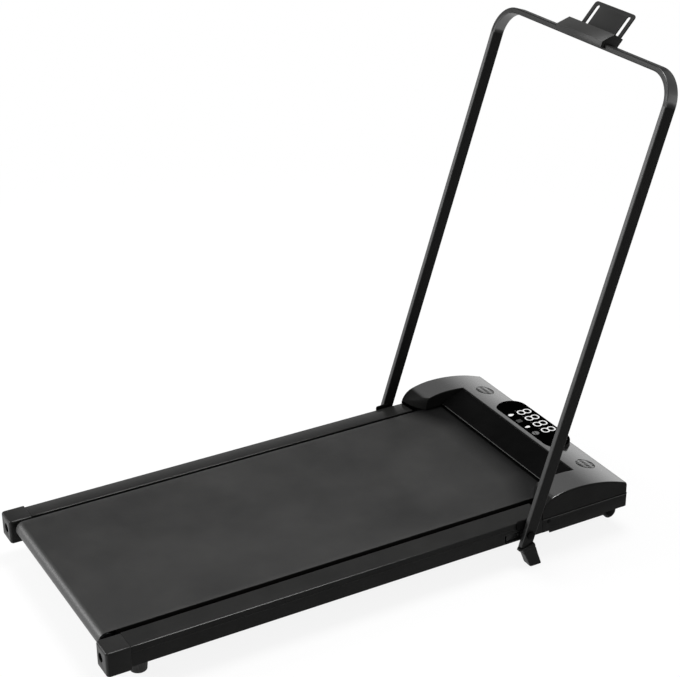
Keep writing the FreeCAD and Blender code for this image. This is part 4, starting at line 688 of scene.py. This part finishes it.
def circleThrough(a, b, c):
    # centre and radius of the circle through three points of the plane
    (ax, ay), (bx, by), (cx, cy) = a, b, c
    a2, b2, c2 = (x**2 + y**2 for x, y in (a, b, c))
    d = 2 * (ax * (by - cy) + bx * (cy - ay) + cx * (ay - by))
    ux = (a2 * (by - cy) + b2 * (cy - ay) + c2 * (ay - by)) / d
    uy = (a2 * (cx - bx) + b2 * (ax - cx) + c2 * (bx - ax)) / d
    return np.array([ux, uy]), math.hypot(ax - ux, ay - uy)


def roofHeight(along, look=hoodLook):
    # four arcs in a row, each the upper half of its circle
    slack = 1e-6
    length = look["front"] - look["tip"]
    marks = [(look["tip"] + length * a, look["ledge"] + look["height"] * b) for a, b in look["side"]]
    height = np.zeros_like(along, dtype=float)
    for first in range(0, len(marks) - 1, 2):
        centre, radius = circleThrough(*marks[first:first + 3])
        here = (along >= marks[first][0] - slack) & (along <= marks[first + 2][0] + slack)
        arc = centre[1] + np.sqrt(np.maximum(radius**2 - (along - centre[0])**2, 0))
        height = np.where(here, arc, height)
    return height


def edgeDrop(distance, radius):
    # how far a rounded edge has fallen at a distance from the outline
    reach = radius - np.clip(distance, 0, radius)
    return radius - np.sqrt(np.maximum(radius**2 - reach**2, 0))


def hangWall(rim, foot, steps):
    # rows of points from under a rim straight down to its foot
    down = np.linspace(0, 1, steps + 1)[1:, None]
    return asPoints(rim[:, 0], rim[:, 1], rim[:, 2] + (foot - rim[:, 2]) * down)


def makeHood(look):
    # rows run from the recess to the outline; the roof, less its rounded edges, blends into the noses
    half, arm, tip, front, corner = (look[key] for key in ("half", "arm", "tip", "front", "corner"))
    lip, ledge, armFoot, blend = (look[key] for key in ("lip", "ledge", "armFoot", "noseBlend"))
    armSteps, fanSteps = look["armSteps"], look["fanSteps"]
    bridgeSteps, wallSteps = look["bridgeSteps"], look["wallSteps"]
    noseEnd = (arm, tip + look["nose"])
    noseMid = (arm + (half - arm) * (1 - look["noseMid"]), tip + look["nose"] * look["noseMid"] ** 2)
    noseCentre, noseRadius = circleThrough(noseEnd, noseMid, (half, tip))

    # right half from the nose to the middle of the front: matching points of the recess and of the outline
    armU = np.linspace(0, 1, armSteps) ** look["armEase"]
    turn = np.linspace(0, 1, fanSteps + 1)[1:] * quarter
    bridge = np.linspace(0, 1, bridgeSteps + 1)[1:]
    inner = np.concatenate([asPoints(arm, noseEnd[1] + (lip - noseEnd[1]) * armU),
                            np.broadcast_to([arm, lip], (fanSteps, 2)),
                            asPoints(arm * (1 - bridge), lip)])
    bend = asPoints(half - corner + corner * np.cos(turn), front - corner + corner * np.sin(turn))
    outer = np.concatenate([asPoints(half, tip + (front - corner - tip) * armU), bend,
                            asPoints((half - corner) * (1 - bridge), front)])
    fine = np.array([0, 0.0025, 0.007, 0.013, 0.02, 0.029, 0.039, 0.05, 0.062])  # close rows at both edges
    t = np.concatenate([fine, np.linspace(0.08, 0.92, 26), 1 - fine[::-1]])
    flat = inner[:, None] * (1 - t[:, None]) + outer[:, None] * t[:, None]
    begin, end = (math.atan2(y - noseCentre[1], x - noseCentre[0]) for x, y in (noseEnd, (half, tip)))
    swing = begin + (end - begin) * t
    arc = noseCentre + noseRadius * asPoints(np.cos(swing), np.sin(swing))
    fade = np.concatenate([1 - armU, np.zeros(fanSteps + bridgeSteps)])
    flat = flat + fade[:, None, None] * (arc - flat[0])

    x, along = flat[..., 0], flat[..., 1]
    toSide, toFront = half - x, front - along
    inCorner = (toSide < corner) & (toFront < corner)
    fromCorner = corner - np.hypot(corner - toSide, corner - toFront)
    deep = np.where(inCorner, fromCorner, np.minimum(toSide, toFront))
    toRecess = np.where(along < lip, x - arm, np.hypot(np.maximum(x - arm, 0), along - lip))
    drop = np.maximum(edgeDrop(deep, look["edge"]), edgeDrop(toRecess, look["innerEdge"]))
    roof = roofHeight(along) - drop
    # a dome over each nose rises along a quarter ellipse with the distance from the nose's outline
    fromNose = noseRadius - np.hypot(x - noseCentre[0], along - noseCentre[1])
    inward = np.clip(fromNose / look["noseRound"], 0, 1)
    dome = look["noseFoot"] + (look["noseTop"] - look["noseFoot"]) * np.sqrt(1 - (1 - inward) ** 2)
    nearNose = (along < lip - look["noseLimit"]) & (inward < 1)
    dome = np.where(nearNose, dome, ledge + 2 * look["height"])
    share = np.clip(0.5 + (dome - roof) / (2 * blend), 0, 1)
    joined = dome * (1 - share) + roof * share - blend * share * (1 - share)
    top = asPoints(x, along, np.maximum(joined, np.minimum(roof, armFoot)))

    # walls hang from the rim: outside to the ledge, nose and arms to just over the rail, lip to the panel
    rim = top[:, 0]
    foot = np.where(np.arange(len(rim)) < armSteps, armFoot, look["lipBottom"])
    innerWall = hangWall(rim, np.minimum(foot, rim[:, 2]), wallSteps)[::-1].swapaxes(0, 1)
    outerWall = hangWall(top[:, -1], ledge + look["seamGap"], wallSteps).swapaxes(0, 1)
    sheet = np.concatenate([innerWall, top, outerWall], axis=1)
    foot = sheet[0, :, 2].copy()
    foot[wallSteps:-wallSteps] = np.minimum(foot[wallSteps:-wallSteps], armFoot)
    right = np.concatenate([hangWall(sheet[0], foot, wallSteps)[::-1], sheet])
    points = np.concatenate([right, both(right)[-2::-1]])
    hood = addPiece("hoodCover", points, gridFaces(*points.shape[:2]), finishes["hood_gloss"], "hood_gloss",
                    replaced=("hood_cover",), sharp=40)
    addModifier(hood, "wall", "SOLIDIFY", thickness=look["wall"] * mm, offset=-1)
    addModifier(hood, "normals", "WEIGHTED_NORMAL", keep_sharp=True)


makeHood(hoodLook)
print("hood made")


# Beads: thin rods along the panel's foot and the seam between hood and pan, lighter than the plastic round
# them: their tone is a painted highlight along those edges

beadLook = {"panelAlong": 908.0, "panelHeight": 95.4, "panelHalf": 176.0, "panelRound": 0.8,
            "seamHalf": 249.55, "seamFront": 1042.55, "seamStart": 852.0, "seamHeight": 73.0,
            "seamCorner": 4.5, "seamRound": 0.75}


def makeBead(name, path, height, radius):
    # a round section carried along a level path, drawn in to a point at both ends
    ease = np.array([0.0, 0.06, 0.25, 0.6, 1.0])[:, None] * radius
    start = path[0] + unit(path[1] - path[0]) * ease
    end = path[-1] + unit(path[-2] - path[-1]) * ease
    path = np.concatenate([start, path[1:-1], end[::-1]])
    ahead = unit(np.gradient(path, axis=0))
    side = asPoints(ahead[:, 1], -ahead[:, 0])
    gone = np.concatenate([[0], np.cumsum(np.linalg.norm(np.diff(path, axis=0), axis=1))])
    fromEnd = np.clip(np.minimum(gone, gone[-1] - gone) / radius, 0, 1)
    thick = radius * np.sqrt(1 - (1 - fromEnd) ** 2)[:, None]
    turn = fullTurn(12)
    flat = path[:, None] + side[:, None] * (thick * np.cos(turn))[..., None]
    points = asPoints(flat[..., 0], flat[..., 1], height + thick * np.sin(turn))
    faces = gridFaces(*points.shape[:2], False, True)
    # the rod stands for a real lip; its light finish is a painted highlight
    addPiece(name, points, faces, finishes["highlight_bead"], "pan_plastic")


def makeBeads(look):
    # one straight along the panel, one round three sides of the seam
    panel = asPoints(np.linspace(-look["panelHalf"], look["panelHalf"], 25), look["panelAlong"])
    makeBead("panelHighlightBead", panel, look["panelHeight"], look["panelRound"])
    half, front, start = look["seamHalf"], look["seamFront"], look["seamStart"]
    corners = [(half, start), (half, front), (-half, front), (-half, start)]
    seam = roundedLine(corners, (look["seamCorner"],) * 2)
    makeBead("seamHighlightBead", seam, look["seamHeight"], look["seamRound"])


makeBeads(beadLook)
print("beads made")


# Display lens, digits and icons

displayLook = {"half": 102.0, "depth": 64.0, "along": 999.0, "top": 115.5, "low": 113.5, "edge": 1.4,
               "flatRings": 9, "rimLift": 0.3, "rimBack": 2, "sunk": 0.1, "proud": 0.12, "ringDrop": 0.04,
               "digits": (-45.5, -18.0, 9.5, 37.0), "digitAlong": 1010.3, "digitWide": 18.0,
               "digitTall": 29.5, "stroke": 2.6, "loopRound": 7.6, "slant": 0.05,
               "icons": (-47.2, -19.3, 8.6, 36.6), "iconAlong": 981.0, "drop": (5.6, 6.4),
               "cup": (3.4, 1.3, 5.6), "pane": 5.6, "paneSquare": 0.3, "disc": 7.0,
               "band": ((-6.2, 0.2), (6.2, -2.2), (6.0, -3.6), (-6.0, -1.2)),
               "dots": (-46.4, -18.5, 9.2, 36.5), "dotAlong": 969.3, "dotRound": 1.7,
               "pointShift": (-11.4, -13.0), "pointRound": 1.5}


def litFinish(name, level):
    # glowing print: its light is mottled, never flat
    mat, tree = newMaterial(name)
    grain = placeGroup(tree, mouldGrain, {"Scale": 1800.0, "Broad": 140.0})
    color = mixColors(tree, grain["Mottle"], grey(level * 0.9), grey(level, level * 0.99))
    values = {"Emission Color": color, "Emission Strength": 1.0, "Base Color": (0.01, 0.01, 0.01, 1),
              "Roughness": 0.4, "Specular IOR Level": 0.05}
    fillInputs(tree, tree.nodes["Principled BSDF"], values)
    return mat


def makeLens(look):
    # rings round the stadium's middle line, out to the rim, over its rounded edge and back underneath
    turn, arc = fullTurn(96), np.linspace(0, quarter, 7)
    radius, edge, top, low = look["depth"] / 2, look["edge"], look["top"], look["low"]
    way = asPoints(np.cos(turn), np.sin(turn))
    line = np.sign(way[:, 0]) * (look["half"] - radius)
    line[np.abs(way[:, 0]) < 1e-9] = 0  # the two points between the stadium's ends
    rings = np.concatenate([np.linspace(0, radius - edge, look["flatRings"] + 1)[:-1],
                            radius - edge + edge * np.sin(arc), [radius, radius - look["rimBack"], 0]])
    heights = np.concatenate([np.full(look["flatRings"], top), top - edge + edge * np.cos(arc),
                              [low + look["rimLift"], low, low]])
    flat = asPoints(line, 0.0)[:, None] + way[:, None] * rings[:, None]
    points = asPoints(flat[..., 0], flat[..., 1] + look["along"], heights)
    addPiece("displayLens", points, gridFaces(*points.shape[:2], True, False), finishes["lens_gloss"],
             "lens_gloss", replaced=("display_lens",), sharp=45)


def prisms(outlines, low, high):
    # flat outlines (count, corners, 2) raised to closed thin prisms
    count, corners = outlines.shape[:2]
    x, y = outlines[..., 0], outlines[..., 1]
    points = np.concatenate([asPoints(x, y, low), asPoints(x, y, high)], axis=1)
    step = np.arange(corners)
    ahead = (step + 1) % corners
    base = (np.arange(count) * 2 * corners)[:, None, None]
    walls = np.stack([step, ahead, ahead + corners, step + corners], 1) + base
    lids = np.stack([step[::-1], step + corners]) + base
    return points, walls.reshape(-1, 4).tolist() + lids.reshape(-1, corners).tolist()


def makeDigits(look, low, high, finish):
    # each eight is two rounded loops that share a stroke; a loop is a square section carried round
    stroke, soft = look["stroke"], look["loopRound"]
    loopTall = (look["digitTall"] + stroke) / 2
    c, s, outward, forward = cornerArcs(7)
    radii, heights = np.array([soft, soft, soft - stroke, soft - stroke]), np.array([low, high, high, low])
    x = (outward * (look["digitWide"] / 2 - soft))[:, None] + c[:, None] * radii
    y = (forward * (loopTall / 2 - soft))[:, None] + s[:, None] * radii
    rise = (loopTall - stroke) / 2
    centres = np.array([(spot, way * rise) for spot in look["digits"] for way in (1, -1)])
    y = y + centres[:, 1, None, None]
    x = x + centres[:, 0, None, None] + y * look["slant"]
    points = asPoints(x, y + look["digitAlong"], heights)
    starts = np.arange(len(centres)) * x[0].size
    faces = gridFaces(*x.shape[1:], True, True) + starts[:, None, None]
    addPiece("displayDigits", points, faces.reshape(-1, 4), finish, "lens_gloss", sharp=30, merge=False)


def makeDisplay(look):
    # the marks stand a little proud of the lens; each icon is a closed curve of one angle
    makeLens(look)
    white, pale, dim = litFinish("litWhite", 0.95), litFinish("litGrey", 0.16), litFinish("litDim", 0.05)
    low, high = look["top"] - look["sunk"], look["top"] + look["proud"]
    makeDigits(look, low, high, white)

    turn = fullTurn(36)
    ring = asPoints(np.cos(turn), np.sin(turn))
    at = asPoints(look["icons"], look["iconAlong"])
    dropWide, dropTall = look["drop"]
    drop = asPoints(dropWide * np.sin(turn) * np.sin(turn / 2), dropTall * np.cos(turn))
    cupWide, cupFlare, cupTall = look["cup"]
    cup = ring * asPoints(cupWide + cupFlare * ring[:, 1], cupTall)
    pane = np.sign(ring) * np.abs(ring) ** look["paneSquare"] * look["pane"]
    disc = ring * look["disc"]
    dots = asPoints(look["dots"], look["dotAlong"])[:, None] + ring * look["dotRound"]
    aside, below = look["pointShift"]
    spots = asPoints(np.array(look["digits"]) + aside, look["digitAlong"] + below)
    marks = (("displayIcons.lit", [drop + at[0], cup + at[2]], high, white),
             ("displayIcons.pane", [pane + at[1]], high, dim),
             ("displayIcons.ring", [disc + at[3], *dots], high - look["ringDrop"], pale),
             ("displayIcons.band", [look["band"] + at[3]], high, finishes["lens_gloss"]),
             ("displayPoints", spots[:, None] + ring[::3] * look["pointRound"], high, dim))
    for name, outlines, top, finish in marks:
        addPiece(name, *prisms(np.array(outlines), low, top), finish, "lens_gloss", sharp=30)


makeDisplay(displayLook)
print("display made")


# Speaker grilles: shallow domes with rows of holes, drawn as painted dark slots

grilleLook = {"x": 171.0, "along": 1001.0, "pitch": 0.0062, "hole": 0.34, "holeSoft": 0.06,
              "slotShape": (1.0, 0.42, 1.0), "around": 64,
              "rings": (0, 4, 8, 12, 15, 16.6, 17.0, 17.3, 18.2, 18.8, 19.0, 19.0, 0),
              "heights": (0.5, 0.48, 0.4, 0.28, 0.12, 0.02, -0.05, 0.42, 0.5, 0.4, 0.1, -1.4, -1.4)}


def makeGrilleFinish(look):
    # a lattice of slots, from the distance to the nearest point of a lattice drawn out along the deck; the
    # slots are not cut, and their near-black colour is painted shade for the dark inside of the holes
    mat = makeFinish("grillePlastic", grey(0.045, 0.044), grey(0.06, 0.059), specular=0.1, coat=(0.0, 1.0),
                     coatBy="roof", coatRough=0.2, coatIndex=2.2, depth=0.6, bumpReach=0.0006, wear=0)
    tree = mat.node_tree
    drawn = {"Vector": coordsOf(tree, "Object"), "Scale": look["slotShape"]}
    lattice = {"Vector": addNode(tree, "ShaderNodeMapping", drawn).outputs["Vector"],
               "Scale": 1 / look["pitch"], "Randomness": 0}
    cells = addNode(tree, "ShaderNodeTexVoronoi", lattice, voronoi_dimensions="2D")
    hole, soft = look["hole"], look["holeSoft"]
    solid = rangeNode(tree, cells.outputs["Distance"], hole - soft, hole + soft)
    # painted shade: a near-black base colour in the slots, where real holes would show shade
    tintBase(mat, solid, grey(0.001))
    coat = tree.nodes["Principled BSDF"].inputs["Coat Weight"]
    tree.links.new(mathNode(tree, "MULTIPLY", coat.links[0].from_socket, solid), coat)
    tree.links.new(solid, tree.nodes["Bump"].inputs["Height"])
    return mat


def makeGrilles(look):
    # polar grid on the roof's slope: a flat rim, a small step and a dome
    behind, here, before = roofHeight(look["along"] + np.array([-1.0, 0.0, 1.0]))
    slope = (before - behind) / 2
    run = np.array([0, 1, slope]) / math.hypot(1, slope)
    up = np.array([0, -run[2], run[1]])
    rings, heights = np.array(look["rings"]), np.array(look["heights"])
    turn = fullTurn(look["around"])[:, None, None]
    spokes = np.cos(turn) * rings[:, None] * [1, 0, 0] + np.sin(turn) * rings[:, None] * run
    points = np.array([look["x"], look["along"], here]) + spokes + heights[:, None] * up
    faces = gridFaces(*points.shape[:2], True, False).tolist()
    addPiece("speakerGrilles", *withTwin(points, faces), makeGrilleFinish(look), "grille_plastic",
             replaced=("speaker_grilles",))


makeGrilles(grilleLook)
print("grilles made")


# Boots: rounded sections from the sole up to the leaning collar

bootLook = {"inner": 250.8, "soleWide": 22.5, "topWide": 17.0, "soleRear": 810.5, "soleFront": 835.2,
            "collarRear": (795.3, 36.5), "collarFront": (822.5, 44.5), "round": 2.6, "tube": (253.9, 264.1),
            "tubeDepth": 24.2, "tubeRound": 2.2, "mouthGap": 0.25, "mouthDeep": 3.0, "lean": 18.0,
            "pivot": (814.0, 61.4),
            "levels": (0, 0.006, 0.02, 0.05, 0.12, 0.25, 0.4, 0.55, 0.68, 0.765, 0.785, 0.8, 0.815, 0.835,
                       0.86, 0.92, 0.965, 0.985, 1.0),
            "insets": (1.2, 0.5, 0.12, 0, 0, 0.15, 0.25, 0.25, 0.15, 0.05, 0.35, 0.9, 0.9, 0.35,
                       0.0, -0.05, 0.1, 0.45, 1.0)}


def makeBoots(look):
    # each level mixes the sole's and the collar's corners, rounded by quarter arcs; insets cut the groove
    level, inset, soft = np.array(look["levels"]), np.array(look["insets"]), look["round"]
    up = level[:, None]
    c, s, outward, forward = cornerArcs(8)
    collarRear, collarFront = np.array(look["collarRear"]), np.array(look["collarFront"])
    rear = np.array([look["soleRear"], 0.0]) * (1 - up) + collarRear * up
    ahead = np.array([look["soleFront"], 0.0]) * (1 - up) + collarFront * up
    halfWide = (look["soleWide"] * (1 - level) + look["topWide"] * level) / 2
    halfLong = np.linalg.norm(ahead - rear, axis=1) / 2
    middle, way = (rear + ahead) / 2, (ahead - rear) / (2 * halfLong[:, None])
    x = look["inner"] + halfWide[:, None] + outward * (halfWide - inset - soft)[:, None] + soft * c
    run = forward * (halfLong - inset - soft)[:, None] + soft * s
    yz = middle[:, None] + way[:, None] * run[..., None]
    outside = asPoints(x, yz[..., 0], yz[..., 1])

    # the mouth lies in the collar's plane, where the tube's own axis meets it
    lean, pivot = math.radians(look["lean"]), np.array(look["pivot"])
    axis = np.array([math.sin(lean), math.cos(lean)])
    across = np.array([math.cos(lean), -math.sin(lean)])
    slope = unit(collarFront - collarRear)
    collar = (collarRear + collarFront) / 2
    hit = pivot + axis * (np.cross(collar - pivot, slope) / np.cross(axis, slope))
    (tubeIn, tubeOut), tubeRound, gap = look["tube"], look["tubeRound"], look["mouthGap"]
    mouthX = (tubeIn + tubeOut) / 2 + outward * ((tubeOut - tubeIn) / 2 + gap - tubeRound) + tubeRound * c
    depth = forward * (look["tubeDepth"] / 2 + gap - tubeRound) + tubeRound * s
    mouth = np.column_stack([mouthX, hit + slope * (depth / np.dot(across, slope))[:, None]])
    sunk = mouth - np.array([0, *axis]) * look["mouthDeep"]
    points = np.concatenate([outside, mouth[None], sunk[None]])
    rows, columns = points.shape[:2]
    faces = gridFaces(rows, columns, False, True).tolist() + endCaps(rows, columns)
    addPiece("handrailBoots", *withTwin(points, faces), finishes["boot_rubber"], "boot_rubber",
             replaced=("handrail_boots",), body="handrail", sharp=38)


makeBoots(bootLook)
print("boots made")


# The other CAD pieces keep their shape and get eased edges and their finish

dressLook = {"weld": 0.00002, "flatAngle": 0.6, "easeAngle": 40, "smoothAngle": 28, "ease": 0.5}
easedEdges = {"phone_holder": 1.0, "inner_panel": 0.8, "hood_base": 0.8, "rear_cap_left": 0.9,
              "rear_cap_right": 0.9, "hinge_brackets": 0.6, "display_pod": 0.6}  # others take "ease"
noEase = ("upright_left", "upright_right", "top_bar", "drive_belt", "deck_screws", "holder_screws")


def makeSmoothGroup(angle):
    # all faces smooth, and edges that bend by more than the angle sharp
    group = bpy.data.node_groups.new("smoothByAngle", "GeometryNodeTree")
    for way in ("INPUT", "OUTPUT"):
        group.interface.new_socket("Geometry", in_out=way, socket_type="NodeSocketGeometry")
    given, out = group.nodes.new("NodeGroupInput"), group.nodes.new("NodeGroupOutput")
    bend = group.nodes.new("GeometryNodeInputMeshEdgeAngle").outputs["Unsigned Angle"]
    soft = addNode(group, "FunctionNodeCompare", {"A": bend, "B": math.radians(angle)}, data_type="FLOAT",
                   operation="LESS_EQUAL")
    faces = addNode(group, "GeometryNodeSetShadeSmooth", {"Geometry": given.outputs[0]}, domain="FACE")
    smoothed = {"Geometry": faces.outputs["Geometry"], "Shade Smooth": soft.outputs["Result"]}
    edges = addNode(group, "GeometryNodeSetShadeSmooth", smoothed, domain="EDGE")
    group.links.new(edges.outputs["Geometry"], out.inputs[0])
    return group


def dressPieces(look):
    # loose triangles welded, flat faces joined, edges eased, then smoothed by angle
    smooth = makeSmoothGroup(look["smoothAngle"])
    slots = {row["node"]: row["material_slot"] for row in frame["record"]["subparts"]}
    for name, piece in nodes.items():
        finish = finishes.get(ownFinish.get(name, slots[name]))
        if finish is None:  # the belt and the grilles are replaced above
            continue
        piece.data.materials.clear()
        piece.data.materials.append(finish)
        addModifier(piece, "weld", "WELD", merge_threshold=look["weld"])
        if name not in noEase:
            addModifier(piece, "flat", "DECIMATE", decimate_type="DISSOLVE",
                        angle_limit=math.radians(look["flatAngle"]))
            addModifier(piece, "ease", "BEVEL", width=easedEdges.get(name, look["ease"]) * mm, segments=2,
                        limit_method="ANGLE", angle_limit=math.radians(look["easeAngle"]))
        addModifier(piece, "smooth", "NODES", node_group=smooth)


dressPieces(dressLook)
print("pieces dressed")
